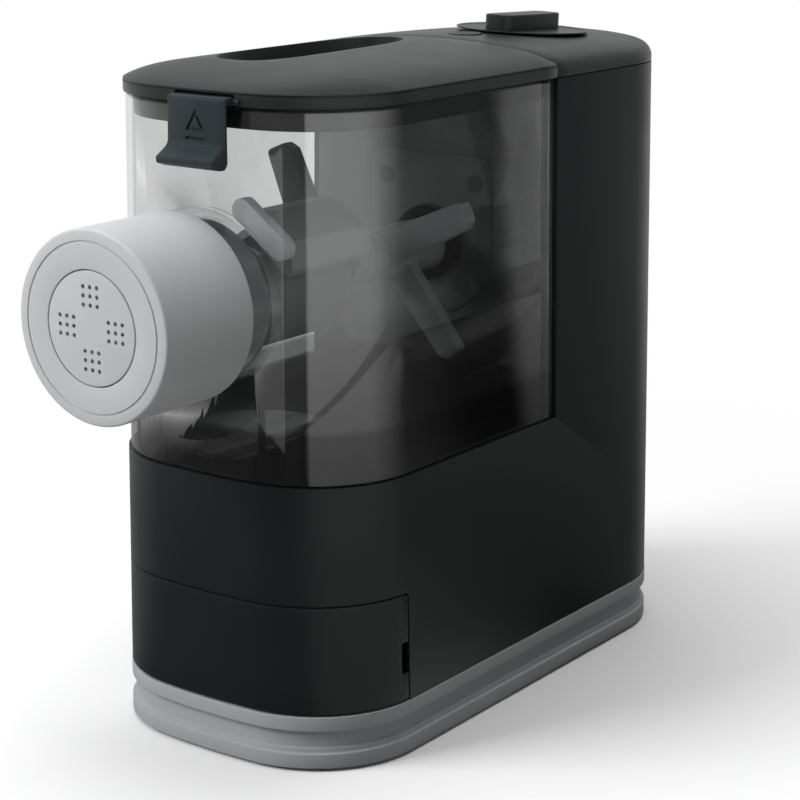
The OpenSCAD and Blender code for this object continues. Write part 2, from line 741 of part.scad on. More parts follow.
store_r = 9;
store_l = 20;
choke_r = 7;
choke_l = 9;
transformer = [16, 20, 14];
heat_sink = [6, 18, 30];

module power_parts() color([0.2, 0.3, 0.55]) {
  x = board_face + board_t;
  y = board_y + board_l - transformer[1] / 2 - 6;
  rod_x(y, board_low + store_r + 7, store_r, x, x + store_l);
  on_board(transformer, y - board_y - transformer[1] / 2, 30);
  on_board(heat_sink, 4, 18);
  rod_x(y, board_low + 48 + choke_r, choke_r, x, x + choke_l);
}

module control_board() color([0.12, 0.35, 0.2]) difference() {
  box(19.5 - half_w, half_w - 19.5, tower_y + 6, rear_y - 31, board_z, board_top);
  at_board_posts() rod_z(0, 0, 1.4, board_z - 1, board_top + 1);
}

module encoder_body() color(dark_grey) difference() {
  union() {
    box(knob_x - 8, knob_x + 8, knob_y - 8, knob_y + 8, board_top, board_top + encoder_h);
    at_knob() rod_z(0, 0, 4.8, board_top + encoder_h - 1 - knob_z, lid_z + 8 - knob_z);
  }
  at_knob() rod_z(0, 0, knob_shaft_r + run_gap, board_top + 1 - knob_z, lid_z + 9 - knob_z);
}

module start_switch() color(dark_grey)
  box(button_x - 6, button_x + 6, button_y - 6, button_y + 6, board_top, board_top + switch_h);

module start_button() color(black) {
  rod_z(button_x, button_y, button_r, crown_top - 3.4, crown_top + 0.3);
  rod_z(button_x, button_y, 2.5, button_stem_z, crown_top - 3.4);
}

module knob_shaft() color(steel) at_knob() rod_z(0, 0, knob_shaft_r, board_top + 1.2 - knob_z, knob_shaft_up);

module knob_disc() color(black) at_knob() difference() {
  rod_z(0, 0, knob_r, 0, skirt_t);
  rod_z(0, 0, knob_shaft_r + 0.02, -1, skirt_t + 1);
}

module knob_grip() color(black) at_knob() difference() {
  slab(round_box(0, 0, grip_w, grip_l, 4), skirt_t, skirt_t + grip_h);
  rod_z(0, 0, knob_shaft_r + 0.02, skirt_t - 1, knob_shaft_up);
}

// ---------- drawer ----------

module drawer_front() color(black) difference() {
  union() {
    difference() {
      slab(front_part(housing_inset), drawer_low, drawer_top);
      slab(front_part(housing_inset + wall), drawer_low + 2, drawer_top - 2);
      box(-body_w, body_w, drawer_back - seam, corner_y + 9, 0, deck_z);
    }
    box(8 - tray_w / 2, tray_w / 2 - 8, tray_front - 2.2, tray_front - 0.1, drawer_low + 1, drawer_top - 1);
  }
  box(housing_inside + 1.2, half_w, drawer_back - 5, drawer_back, drawer_low + 11, drawer_low + 25);
}

// Front part of the block, cut straight behind the drawer front
function front_part(inset) =
  concat([[inset - half_w, corner_y + 8]], front_arcs(inset), [[half_w - inset, corner_y + 8]]);

module drawer_tray() color(dark_grey) difference() {
  box(-tray_w / 2, tray_w / 2, tray_front, tray_back, tray_z, tray_z + tray_h);
  box(tray_t - tray_w / 2, tray_w / 2 - tray_t, tray_front + tray_t, tray_back - tray_t, tray_z + tray_t, deck_z);
}

module stored_disc(slots) difference() {
  union() {
    cylinder(r = cap_bore - 0.6, h = disc_t);
    cylinder(r = face_r - 0.3, h = disc_t + 3);
  }
  for (i = [0:slots - 1]) rotate([0, 0, i * 360 / slots]) translate([group_r - 1, -2.5, -1]) cube([2, 5, 20]);
}

// Three spare shaping discs, stacked in the front of the tray
module stored_discs() color(pale_grey) for (i = [0:2])
  translate([0, tray_front + tray_t + cap_bore, tray_z + tray_t + i * (disc_t + 3.1)]) stored_disc(8 - 2 * i);

// ---------- chamber ----------

// Half-round bottom of the trough with straight sides up to z
module trough_shape(r, z) polygon(concat(arc(0, axis_z, r, 180, 360, 30), [[r, z], [-r, z]]));

module chamber_inner(inset, z0, z1) slab(block_plan(inset, chamber_back + chamber_inset - inset, 2), z0, z1);

rib_x = [-41.5, -22.8, 22.8, 41.5];
rib_t = 1.8;
inner_inset = chamber_inset + wall;

module mixing_chamber() color(clear) difference() {
  union() {
    difference() {
      slab(block_plan(chamber_inset, chamber_back, 3.5), chamber_low, chamber_top);
      chamber_inner(inner_inset, axis_z, chamber_top + 1);
      intersection() {
        chamber_inner(inner_inset, chamber_low + 1, axis_z + 1);
        along_y(front_y, chamber_back) trough_shape(trough_r, axis_z + 1);
      }
      difference() {
        chamber_inner(inner_inset, chamber_low - 1, axis_z);
        along_y(front_y - 1, chamber_back + 1) trough_shape(trough_r + trough_t, axis_z + 1);
        for (x = rib_x) box(x - rib_t / 2, x + rib_t / 2, front_y, tower_y, chamber_low - 2, axis_z);
        box(-body_w, body_w, front_y + 48, front_y + 48 + rib_t, chamber_low - 2, axis_z);
      }
    }
    rod_y(0, axis_z, boss_r, front_y - boss_l, front_y + 8);
    box(latch_x - 9, latch_x + 9, front_y + 1.7, front_y + 3.4, lid_z - 10, lid_z - 7.5);
  }
  rod_y(0, axis_z, boss_bore, front_y - boss_l - 1, front_y + 9);
  rod_y(0, axis_z, seal_seat_r, chamber_back - wall - 1, chamber_back + 1);
}

module chamber_seal() color([0.06, 0.06, 0.06]) difference() {
  union() {
    rod_y(0, axis_z, seal_seat_r, chamber_back - wall - 1.4, chamber_back + 0.6);
    rod_y(0, axis_z, seal_flange_r, chamber_back - wall - 1.4, chamber_back - wall);
    rod_y(0, axis_z, seal_flange_r, chamber_back, chamber_back + 0.6);
  }
  rod_y(0, axis_z, seal_r, chamber_back - wall - 3, chamber_back + 2);
}

bar_front = front_y + drum_l + 3;
hub_front = tower_y - 24;
hub_back = tower_y - plate_t - 0.5;

// Wiper that sweeps round the dough tube, in line with its own angle
wiper_angle = 54;
head_front = front_y + 14;
head_r = drum_r + 6.4 + head_t / 2;
wiper_back = bar_front - 8;
wiper_section = [[-4.6, 12], [0, 10.5], [3.7, 5], [3.7, -12], [-1.6, -16], [-5, -19], [-8.4, -18.6],
  [-9.2, -12], [-8, 0], [-7.6, 10]];
strut_w = 17;

// Flat paddle with a round end, standing out from the shaft axis at an angle
module paddle(angle, y0, y1, w, reach) rotate_about(axis_z, angle) along_y(y0, y1) translate([0, axis_z])
  polygon(concat(arc(reach - w / 2, 0, w / 2, -90, 90, 10), [[0, w / 2], [0, -w / 2]]));

// Wiper along +X: the round head in front, the arm behind it and the strut down to the shaft
module wiper() {
  along_y(head_front, head_front + 6)
    polygon(round_box(head_r, axis_z, head_t, head_w, head_t / 2 - 0.1));
  translate([head_r, 0, axis_z]) along_y(head_front + 5, wiper_back) polygon(wiper_section);
  translate([0, 0, axis_z - strut_w / 2]) linear_extrude(strut_w) polygon([
    [0, bar_front + 1], [drum_r + 3, bar_front], [head_r - 3, wiper_back - 12], [head_r + 1, wiper_back],
    [head_r - 6, bar_front + 6], [bar_r, bar_front + 29], [0, bar_front + 29]]);
}

module kneading_bar() color(mid_grey) difference() {
  union() {
    rod_y(0, axis_z, bar_r, bar_front, hub_back - 4);
    translate([0, hub_front - 20, axis_z]) rotate([-90, 0, 0]) cylinder(r1 = bar_r, r2 = hub_r, h = 20);
    rod_y(0, axis_z, hub_r, hub_front, hub_back);
    paddle(113, bar_front + 5, bar_front + 11, 14, paddle_reach);
    paddle(25.5, hub_front - 22, hub_front - 14, 13, paddle_reach);
    paddle(-51, hub_front - 8, hub_front - 2, 12, paddle_reach);
    rotate_about(axis_z, wiper_angle) wiper();
  }
  translate([0, hub_back + 1, axis_z]) rotate([90, 0, 0]) rotate([0, 0, 30])
    cylinder(d = (coupling_af + 0.8) / cos(30), h = 16, $fn = 6);
}

screw_core = 8;
screw_reach = tube_bore - 1.2;
screw_l = bar_front - front_y + 46;

module auger_screw() color([0.9, 0.9, 0.88]) translate([0, bar_front, axis_z]) rotate([90, 0, 0])
  linear_extrude(screw_l, twist = -1150, slices = 40)
    translate([(screw_reach - screw_core) / 2, 0]) circle(r = (screw_reach + screw_core) / 2, $fn = 18);

// ---------- extruder ----------

disc_y = front_y - cap_reach + cap_wall - 0.6;
tube_front = disc_y + disc_t;
barrel_r_out = tube_bore + 3;
lug_y = front_y - 20;
cap_bore = cap_r - cap_wall;

module lugs(r_in, r_out, y, t) for (i = [0:2]) rotate_about(axis_z, i * 120) intersection() {
  tube_y(0, axis_z, r_out, r_in, y, y + t);
  box(0, cap_r + 2, y - 1, y + t + 1, axis_z - 12, axis_z + 12);
}

module extrusion_tube() color(dark_grey) difference() {
  union() {
    rod_y(0, axis_z, barrel_r_out, tube_front, front_y - 6);
    rod_y(0, axis_z, flange_r, front_y - boss_l, front_y + 6);
    rod_y(0, axis_z, drum_r, front_y + 5, front_y + drum_l);
    lugs(barrel_r_out - 1, cap_bore - 0.7, lug_y, 4);
  }
  rod_y(0, axis_z, tube_bore, tube_front - 1, front_y + drum_l + 1);
  box(-16, 16, front_y + 18, front_y + 42, axis_z, axis_z + 40);
}

module shaping_disc() color(pale_grey) difference() {
  union() {
    rod_y(0, axis_z, cap_bore - 0.6, disc_y, tube_front);
    rod_y(0, axis_z, face_r - 0.3, front_y - cap_reach, disc_y + 1);
  }
  for (a = [0:90:270]) for (i = [-1:1]) for (k = [-1:1])
    rod_y(group_r * cos(a) + i * strand_pitch, axis_z + group_r * sin(a) + k * strand_pitch,
      strand_d / 2, front_y - cap_reach - 1, tube_front + 1);
}

module locking_ring() color(pale_grey) {
  translate([0, front_y - cap_reach, axis_z]) rotate([-90, 0, 0]) rotate_extrude() polygon([
    [face_r, 0], [cap_r - 5, 0], [cap_r - 4.9, 0.5], [cap_r - 4.4, 0.5], [cap_r - 4.3, 0], [cap_r - 1, 0],
    [cap_r, 1], [cap_r, cap_l - 0.6], [cap_r - 0.6, cap_l], [cap_bore, cap_l],
    [cap_bore, cap_wall - 0.7], [face_r, cap_wall - 0.7]]);
  lugs(barrel_r_out + 0.6, cap_bore + 1, lug_y + 4.4, 4);
}

// ---------- lid and latch ----------

module lid_solid(inset, drop, z0) intersection() {
  slab(block_plan(inset, tower_y - seam - 0.3 - inset + lid_inset, 1), z0, crown_top + 1);
  crown(front_y - 1, tower_y, drop);
  rod_x(tower_y, crown_top - lid_bow_r, lid_bow_r - drop, -half_w, half_w, $fn = 900);
}

module slot_shape(grow) polygon(concat(
  arc(slot_x, slot_y + (slot_l - slot_w) / 2, slot_w / 2 + grow, 0, 180, 16),
  arc(slot_x, slot_y - (slot_l - slot_w) / 2, slot_w / 2 + grow, 180, 360, 16)));

module lid() color(black) difference() {
  union() {
    difference() {
      lid_solid(lid_inset, 0, lid_z);
      lid_solid(lid_inset + wall, dome_t, lid_z - 1);
    }
    intersection() {
      lid_solid(lid_inset + 0.5, 0.3, lid_z);
      translate([0, 0, slot_floor]) linear_extrude(20) slot_shape(slot_wall);
    }
    for (side = [0, 1]) latch_side(side);
  }
  intersection() {
    lid_solid(lid_inset, -2, lid_z);
    translate([0, 0, slot_floor + slot_floor_t]) linear_extrude(20) slot_shape(0);
  }
  for (i = [-1:1]) box(slot_x - 9, slot_x + 9, slot_y + i * 20 - 7.5, slot_y + i * 20 + 7.5, lid_z, lid_z + 6);
  box(latch_x - latch_w / 2 - 0.4, latch_x + latch_w / 2 + 0.4, front_y, latch_pin_y + barrel_r + 0.6,
    lid_z - 1, latch_pin_z + barrel_r + 0.6);
  rod_x(latch_pin_y, latch_pin_z, pin_r, latch_x - latch_w / 2 - 3, latch_x + latch_w / 2 + 3);
}

// Lug beside the latch that carries the pin
module latch_side(side) {
  x = side == 0 ? latch_x - latch_w / 2 - 4.4 : latch_x + latch_w / 2 + 0.2;
  box(x, x + 4.2, latch_pin_y - 1.6, latch_pin_y + 3, lid_z, latch_pin_z + 2.4);
}

module lid_gasket() color([0.07, 0.07, 0.07]) difference() {
  slab(block_plan(inner_inset + 0.7, chamber_back - wall - 0.7, 2), lid_z - 8.5, slot_floor - 0.2);
  slab(block_plan(inner_inset + 2.9, chamber_back - wall - 2.9, 1), lid_z - 9, lid_z + 4);
  box(latch_x - latch_w / 2 - 5, latch_x + latch_w / 2 + 5, front_y, latch_pin_y + 3.2, lid_z - 0.4, lid_z + 4);
}

module latch_pin() color(steel) rod_x(latch_pin_y, latch_pin_z, pin_r, latch_x - latch_w / 2 - 3, latch_x + latch_w / 2 + 3);

module lid_latch() color(black) difference() {
  union() {
    along_x(latch_x - latch_w / 2, latch_x + latch_w / 2) translate([latch_pin_y, latch_pin_z]) polygon([
      [0, 1.3], [-5.2, 1.3], [-5.9, 1], [-plate_front, 0.3], [-plate_front, 11 - latch_l], [-6.9, 9 - latch_l],
      [1 - lip_reach, 5.5 - latch_l], [-lip_reach, 4 - latch_l], [-lip_reach, 2 - latch_l],
      [1.2 - lip_reach, 0.3 - latch_l], [3 - lip_reach, -latch_l], [-5.6, -latch_l], [-4.4, 1 - latch_l],
      [-plate_back, 2.4 - latch_l], [-plate_back, 10.4 - latch_l], [-3.2, 10.8 - latch_l],
      [-3.2, 12 - latch_l], [-plate_back, 12.6 - latch_l], [-plate_back, -0.9], [0, -0.9]]);
    rod_x(latch_pin_y, latch_pin_z, barrel_r, latch_x - latch_w / 2, latch_x + latch_w / 2);
  }
  rod_x(latch_pin_y, latch_pin_z, pin_r + run_gap, latch_x - latch_w / 2 - 1, latch_x + latch_w / 2 + 1);
}

plinth();
base_plate();
rubber_feet();
base_screws();
housing();
drawer_bay();
tower_panel();
panel_plugs();
panel_screws();
shaft_seal();
interlock_sensor();
tower_cap();
gearbox_case();
gearbox_cover();
cover_screws();
idler_pins();
shaft_bearings();
motor_can();
motor_magnets();
motor_end_bell();
motor_bushes();
motor_cradle();
power_board();
power_parts();
control_board();
encoder_body();
start_switch();
cord_gland();
rotor_shaft();
rotor_core();
rotor_windings();
motor_pinion();
cooling_fan();
first_gear();
second_gear();
output_gear();
drive_shaft();
knob_disc();
knob_grip();
knob_shaft();
start_button();
drawer_front();
drawer_tray();
stored_discs();
mixing_chamber();
chamber_seal();
kneading_bar();
auger_screw();
extrusion_tube();
shaping_disc();
locking_ring();
lid();
lid_gasket();
latch_pin();
lid_latch();
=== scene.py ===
"""Looks of the electric pasta maker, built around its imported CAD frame.

Lengths are in millimetres until a mesh is made, and every place follows the frame's own boxes.
The shells lean inward by TAPER towards the top, inside the CAD model's box.
"""

import json
from math import asin, atan2, copysign, cos, degrees, pi, radians, sin, sqrt, tan

import bmesh
import bpy
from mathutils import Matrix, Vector

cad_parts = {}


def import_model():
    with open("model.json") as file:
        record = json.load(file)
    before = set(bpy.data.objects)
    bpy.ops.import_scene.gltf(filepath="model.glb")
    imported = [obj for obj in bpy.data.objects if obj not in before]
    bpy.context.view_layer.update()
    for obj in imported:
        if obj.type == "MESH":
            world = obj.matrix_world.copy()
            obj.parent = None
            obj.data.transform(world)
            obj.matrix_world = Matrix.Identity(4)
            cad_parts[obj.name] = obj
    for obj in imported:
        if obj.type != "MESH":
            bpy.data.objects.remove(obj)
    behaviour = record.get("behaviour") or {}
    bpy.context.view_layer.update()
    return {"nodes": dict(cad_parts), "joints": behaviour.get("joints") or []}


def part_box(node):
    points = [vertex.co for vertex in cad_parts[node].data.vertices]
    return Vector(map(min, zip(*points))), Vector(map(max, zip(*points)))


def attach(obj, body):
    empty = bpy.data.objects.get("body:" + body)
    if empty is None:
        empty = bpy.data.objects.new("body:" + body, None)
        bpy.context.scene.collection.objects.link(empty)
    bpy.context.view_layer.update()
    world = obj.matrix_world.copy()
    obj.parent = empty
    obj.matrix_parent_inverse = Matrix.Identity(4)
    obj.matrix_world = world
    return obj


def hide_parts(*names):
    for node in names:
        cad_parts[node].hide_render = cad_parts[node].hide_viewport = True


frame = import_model()
MM = 0.001


def box(node):
    """Low and high corner of a CAD node."""
    return [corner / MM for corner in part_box(node)]


def low(node):
    return box(node)[0]


def high(node):
    return box(node)[1]


def centre(node):
    return (low(node) + high(node)) / 2


# --- sizes ---

HALF_W = high("plinth").x
FRONT = low("plinth").y
REAR = high("plinth").y
TOWER = low("tower_cap").y
PLINTH_TOP = high("plinth").z
AXIS_Z = (low("locking_ring").z + high("locking_ring").z) / 2
DECK = low("mixing_chamber").z - 0.3
LID_Z = low("lid").z
CREST = high("lid").z
CAP_FRONT = low("locking_ring").y
CAP_R = high("locking_ring").x

FRONT_R = 290
CORNER_R = 48
REAR_R = 48
WALL = 2.5
SEAM = 0.5
TAPER = 0.0145
CORNER_X = HALF_W - CORNER_R
BOW_Y = FRONT + FRONT_R
CORNER_Y = BOW_Y - sqrt((FRONT_R - CORNER_R) ** 2 - CORNER_X**2)
CORNER_TURN = degrees(atan2(CORNER_Y - BOW_Y, CORNER_X))

DRAWER_TOP = high("drawer_front").z
DRAWER_BACK = FRONT + 47
SEAM_R = 2.5
SLOT_FRONT = DRAWER_BACK - 4.3
SLOT_Z = (35, 48)

MOTOR_Z = (low("motor_can").z + high("motor_can").z) / 2
VENTS = [MOTOR_Z - 12 + 6 * i for i in range(6)]
VENT_HALF = 1.2
VENT_X = 18

RIM_TOP = LID_Z + 5.6
CROWN_H = CREST - RIM_TOP
TOWER_FALL = 3.7
TOWER_ROLL = 4.0


def skin(z):
    """How far the outer skin stands inside the plinth at height z."""
    return TAPER * z


# --- outlines ---


def arc(cx, cy, r, start, end, steps):
    """Points on an arc, angles in degrees, both ends included."""
    turn = [radians(start + (end - start) * i / steps) for i in range(steps + 1)]
    return [(cx + r * cos(a), cy + r * sin(a)) for a in turn]


def on_corner(y):
    """Angle on the front corner's arc at depth y."""
    return degrees(asin((y - CORNER_Y) / CORNER_R))


def front_stations(extra=()):
    """Right half of the front: the bow from the middle, then the corner, with stops at extra depths."""
    bow = [("bow", -90 + (CORNER_TURN + 90) * i / 4) for i in range(4)]
    stops = [on_corner(y) for y in extra]
    last = min(stops + [-2])
    turns = [CORNER_TURN + (last - CORNER_TURN) * i / 18 for i in range(18)]
    return bow + [("corner", a) for a in turns + sorted(stops)] + [("side", CORNER_Y)]


def back_stations(stops=()):
    """Right half of the back: the corner and the rear wall as far as the middle, with stops at x."""
    corner = [("rear_corner", 90 * i / 14) for i in range(15)]
    return corner + [("rear", x) for x in sorted(stops, reverse=True)] + [("rear", 0)]


def place(station, inset, back, back_r):
    """Point of a station on the outline that lies inset inside the plinth and ends at depth back."""
    kind, value = station
    if kind == "side":
        return (HALF_W - inset, value)
    if kind == "rear":
        return (value, back)
    cx, cy, r = {
        "bow": (0, BOW_Y, FRONT_R - inset),
        "corner": (CORNER_X, CORNER_Y, CORNER_R - inset),
        "rear_corner": (HALF_W - inset - back_r, back - back_r, back_r),
    }[kind]
    a = radians(value)
    return (cx + r * cos(a), cy + r * sin(a))


def ring(stations, z, inset, back=None, back_r=None):
    """Closed outline at height z, anticlockwise from the front's middle.
    The back follows the inset unless given."""
    back = REAR - inset if back is None else back
    back_r = REAR_R - inset if back_r is None else back_r
    half = [place(s, inset, back, back_r) for s in stations]
    return [(x, y, z) for x, y in half + [(-x, y) for x, y in half[-2:0:-1]]]


def closed_stations(steps):
    """Right half of a closed loop: the front, the side and a rear corner in so many steps."""
    corner = [("rear_corner", 90 * i / steps) for i in range(steps + 1)]
    return front_stations() + [("side", 0)] + corner + [("rear", 0)]


def rounded_box(cy, half_x, half_y, r, z, steps):
    """Rectangle with round corners at height z, anticlockwise about the point at x 0 and y cy."""
    points = []
    for sx, sy, start in ((1, 1, 0), (-1, 1, 90), (-1, -1, 180), (1, -1, 270)):
        points += arc(sx * (half_x - r), cy + sy * (half_y - r), r, start, start + 90, steps)
    return [(x, y, z) for x, y in points]


# --- meshes ---


class Shape:
    """Vertices and faces of one piece, in millimetres."""

    def __init__(self):
        self.verts = []
        self.faces = []

    def add(self, points):
        first = len(self.verts)
        self.verts += [tuple(p) for p in points]
        return list(range(first, len(self.verts)))

    def strip(self, a, b, keep=None):
        """Quads between two closed rows of vertices, a below b, going anticlockwise seen from above."""
        for i in range(len(a)):
            if keep is None or keep(i):
                k = (i + 1) % len(a)
                self.faces.append((a[i], a[k], b[k], b[i]))

    def rows(self, rows):
        """Skin over closed rows of points."""
        found = [self.add(r) for r in rows]
        for a, b in zip(found, found[1:]):
            self.strip(a, b)
        return found


def solid(rows):
    """Closed solid through rows of points, with a face on both ends."""
    shape = Shape()
    found = shape.rows(rows)
    shape.faces += [tuple(reversed(found[0])), tuple(found[-1])]
    return shape


def hoop(rows):
    """Shape skinned over closed rows, the last joined to the first."""
    shape = Shape()
    found = [shape.add(r) for r in rows]
    for a, b in zip(found, found[1:] + found[:1]):
        shape.strip(a, b)
    return shape


def slab(outline, z0, z1):
    """Closed prism of an outline."""
    return solid([[(x, y, z) for x, y in outline] for z in (z0, z1)])


def slab_y(outline, y0, y1):
    """Closed prism along Y of an outline in x and z."""
    return solid([[(x, y, z) for x, z in outline] for y in (y0, y1)])


def block(x0, x1, y0, y1, z0, z1):
    """Box between six planes."""
    return slab([(x0, y0), (x1, y0), (x1, y1), (x0, y1)], z0, z1)


def link(obj):
    """Puts an object into the scene."""
    bpy.context.scene.collection.objects.link(obj)
    return obj


def build(name, shape):
    """Blender object of a shape, in metres."""
    mesh = bpy.data.meshes.new(name)
    mesh.from_pydata([[c * MM for c in v] for v in shape.verts], [], shape.faces)
    mesh.validate()
    mesh.update()
    return link(bpy.data.objects.new(name, mesh))


def bake(obj):
    """Applies the object's modifiers to its mesh."""
    bpy.context.view_layer.update()
    made = bpy.data.meshes.new_from_object(obj.evaluated_get(bpy.context.evaluated_depsgraph_get()))
    old = obj.data
    obj.modifiers.clear()
    obj.data = made
    bpy.data.meshes.remove(old)
    return obj


def combine(obj, tool, operation="UNION"):
    """Boolean of an object with another one or with a shape. The tool goes away."""
    if isinstance(tool, Shape):
        tool = build("tool", tool)
    step = obj.modifiers.new("combine", "BOOLEAN")
    step.operation = operation
    step.object = tool
    step.solver = "EXACT"
    bake(obj)
    bpy.data.objects.remove(tool)
    return obj


def cut(obj, tool):
    return combine(obj, tool, "DIFFERENCE")


def weld(obj, distance=0.01, drop_loose=False):
    """Joins vertices that lie on each other, and deletes those that no face uses if asked to."""
    bm = bmesh.new()
    bm.from_mesh(obj.data)
    bmesh.ops.remove_doubles(bm, verts=bm.verts, dist=distance * MM)
    if drop_loose:
        bmesh.ops.delete(bm, geom=[v for v in bm.verts if not v.link_faces], context="VERTS")
    bm.to_mesh(obj.data)
    bm.free()


def thicken(obj, wall):
    """Gives a sheet its wall, inward from its outer skin."""
    step = obj.modifiers.new("wall", "SOLIDIFY")
    step.thickness = wall * MM
    step.offset = -1
    step.use_even_offset = True
    step.use_quality_normals = True
    return bake(obj)


def bevel(obj, width, segments, angle):
    step = obj.modifiers.new("edges", "BEVEL")
    step.width = width * MM
    step.segments = segments
    step.limit_method = "ANGLE"
    step.angle_limit = radians(angle)
    return step


def soften(obj, width, segments=3, angle=32):
    """Rounds the sharp edges."""
    bevel(obj, width, segments, angle).miter_outer = "MITER_ARC"
    return bake(obj)


def paint(obj, material):
    obj.data.materials.clear()
    obj.data.materials.append(material)


def finish(obj, body, material, *nodes, slot="black_shell", angle=35):
    """Shades a piece smooth but for edges sharper than the angle, gives it its material and body,
    and lets it stand for its CAD nodes. The slot is not used."""
    obj.data.shade_smooth()
    obj.data.set_sharp_from_angle(angle=radians(angle))
    paint(obj, material)
    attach(obj, body)
    if nodes:
        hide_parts(*nodes)


def full_turn(steps):
    return [2 * pi * i / steps for i in range(steps)]


def along_y(profile, steps=96, x=0, z=AXIS_Z):
    """Shape turned about a line along Y, from a closed profile of (y, radius) points."""
    return hoop([[(x + r * cos(a), y, z + r * sin(a)) for y, r in profile]
                 for a in full_turn(steps)])


def upright(profile, x, y, steps=96):
    """Shape turned about the upright line through x and y, from a closed profile of (radius, z) points."""
    return hoop([[(x + r * cos(a), y + r * sin(a), z) for a in full_turn(steps)]
                 for r, z in profile])


def rounded(points, steps=4):
    """Closed outline from corners (a, b, radius), each corner turned with its own radius."""
    out = []
    n = len(points)
    for i, (px, py, r) in enumerate(points):
        p = Vector((px, py))
        before = (Vector(points[i - 1][:2]) - p).normalized()
        after = (Vector(points[(i + 1) % n][:2]) - p).normalized()
        if r <= 0:
            out.append((px, py))
            continue
        half = before.angle(after) / 2
        reach = r / tan(half)
        middle = p + (before + after).normalized() * (r / sin(half))
        start, end = p + before * reach - middle, p + after * reach - middle
        sweep = start.angle_signed(end)
        a0 = atan2(start.y, start.x)
        for k in range(steps + 1):
            a = a0 - sweep * k / steps
            out.append((middle.x + r * cos(a), middle.y + r * sin(a)))
    return out


def rod(x0, y0, z0, x1, y1, z1, r, steps=32):
    """Cylinder between two points."""
    a, b = Vector((x0, y0, z0)), Vector((x1, y1, z1))
    along = (b - a).normalized()
    side = along.orthogonal().normalized()
    up = along.cross(side)
    turn = full_turn(steps)
    return solid([[p + r * (cos(t) * side + sin(t) * up) for t in turn] for p in (a, b)])


def rod_y(y0, y1, r, steps=32, x=0, z=AXIS_Z):
    """Cylinder along Y."""
    return rod(x, y0, z, x, y1, z, r, steps)


def merged(*shapes):
    """One shape that holds several closed ones."""
    out = Shape()
    for s in shapes:
        first = len(out.verts)
        out.verts += s.verts
        out.faces += [tuple(i + first for i in f) for f in s.faces]
    return out


# --- materials ---


def put(tree, socket, value):
    """Gives an input a value, or a link where the value is a socket or a node with its first output."""
    if isinstance(value, bpy.types.Node):
        value = value.outputs[0]
    if isinstance(value, bpy.types.NodeSocket):
        tree.links.new(value, socket)
    else:
        socket.default_value = value


def fill(tree, node, **values):
    """Fills a node's inputs by name, where _ stands for a space."""
    for name, value in values.items():
        put(tree, node.inputs[name.replace("_", " ")], value)
    return node


def add(tree, kind, **values):
    """New shader node with some of its inputs filled."""
    return fill(tree, tree.nodes.new("ShaderNode" + kind), **values)


def math_node(tree, operation, *values):
    """Math node with its inputs filled in their order."""
    node = add(tree, "Math")
    node.operation = operation
    for socket, value in zip(node.inputs, values):
        put(tree, socket, value)
    return node


def vector_node(tree, operation, vector, **values):
    """Vector math node with its first vector and its other inputs."""
    node = add(tree, "VectorMath")
    node.operation = operation
    put(tree, node.inputs[0], vector)
    return fill(tree, node, **values)


def mixed(tree, share, first, second):
    """Mix of two shaders."""
    node = add(tree, "MixShader")
    for socket, value in zip(node.inputs, (share, first, second)):
        put(tree, socket, value)
    return node


def ranged(tree, value, start, end, first, last=1.0, curve="LINEAR"):
    """Number that goes from first to last while the value goes from start to end."""
    node = add(tree, "MapRange")
    node.interpolation_type = curve
    return fill(tree, node, Value=value, From_Min=start, From_Max=end, To_Min=first, To_Max=last)


def clouded(tree, spot, scale, detail, colour, spread):
    """Soft noise, and the colour that it moves by a share of itself either way."""
    cloud = add(tree, "TexNoise", Scale=scale, Detail=detail, Vector=spot)
    tone = add(tree, "Mix")
    tone.data_type = "RGBA"
    dark, light = [[min(1, c * share) for c in colour] for share in (1 - spread, 1 + spread)]
    fill(tree, tone, A=(*dark, 1), B=(*light, 1), Factor=cloud)
    return cloud, tone.outputs["Result"]


def new_material(name):
    """Material with its node tree and the coordinates that its patterns use."""
    mat = bpy.data.materials.new(name)
    mat.use_nodes = True
    return mat, mat.node_tree, add(mat.node_tree, "TexCoord").outputs["Object"]


CLOUD_SCALE = 45
CLOUD_DETAIL = 6
GLOSS_SPREAD = 0.12
GRAIN_DEPTH = 0.05


def plastic(name, colour, roughness, specular=0.5, grain=0.12, grain_mm=0.35, spread=0.12):
    """Moulded plastic: a faint cloud in the colour, uneven gloss and a fine spark-eroded grain."""
    mat, nt, spot = new_material(name)
    cloud, tone = clouded(nt, spot, CLOUD_SCALE, CLOUD_DETAIL, colour, spread)
    matt, rough = roughness * (1 - GLOSS_SPREAD), min(1, roughness * (1 + GLOSS_SPREAD))
    fine = add(nt, "TexNoise", Scale=1 / (grain_mm * MM), Detail=2, Vector=spot)
    bump = add(nt, "Bump", Strength=grain, Distance=GRAIN_DEPTH * MM, Height=fine)
    fill(nt, nt.nodes["Principled BSDF"], Base_Color=tone, Specular_IOR_Level=specular,
         Roughness=ranged(nt, cloud, 0, 1, matt, rough), Normal=bump)
    return mat


def metal(name, colour, roughness, stretch=(1, 1, 1), spread=0.08):
    """Turned or rolled metal: fine drawn lines in gloss and height."""
    mat = plastic(name, colour, roughness, spread=spread)
    nt = mat.node_tree
    fill(nt, nt.nodes["Principled BSDF"], Metallic=1.0)
    spot = next(n for n in nt.nodes if n.type == "TEX_COORD").outputs["Object"]
    lines = add(nt, "Mapping", Scale=stretch, Vector=spot)
    for noise in [n for n in nt.nodes if n.type == "TEX_NOISE"]:
        fill(nt, noise, Vector=lines)
    return mat


CLEAR_CLOUD, CLEAR_SPREAD = 14, 0.015
CLEAR_IOR = 1.49
SHADE_EDGE = 2


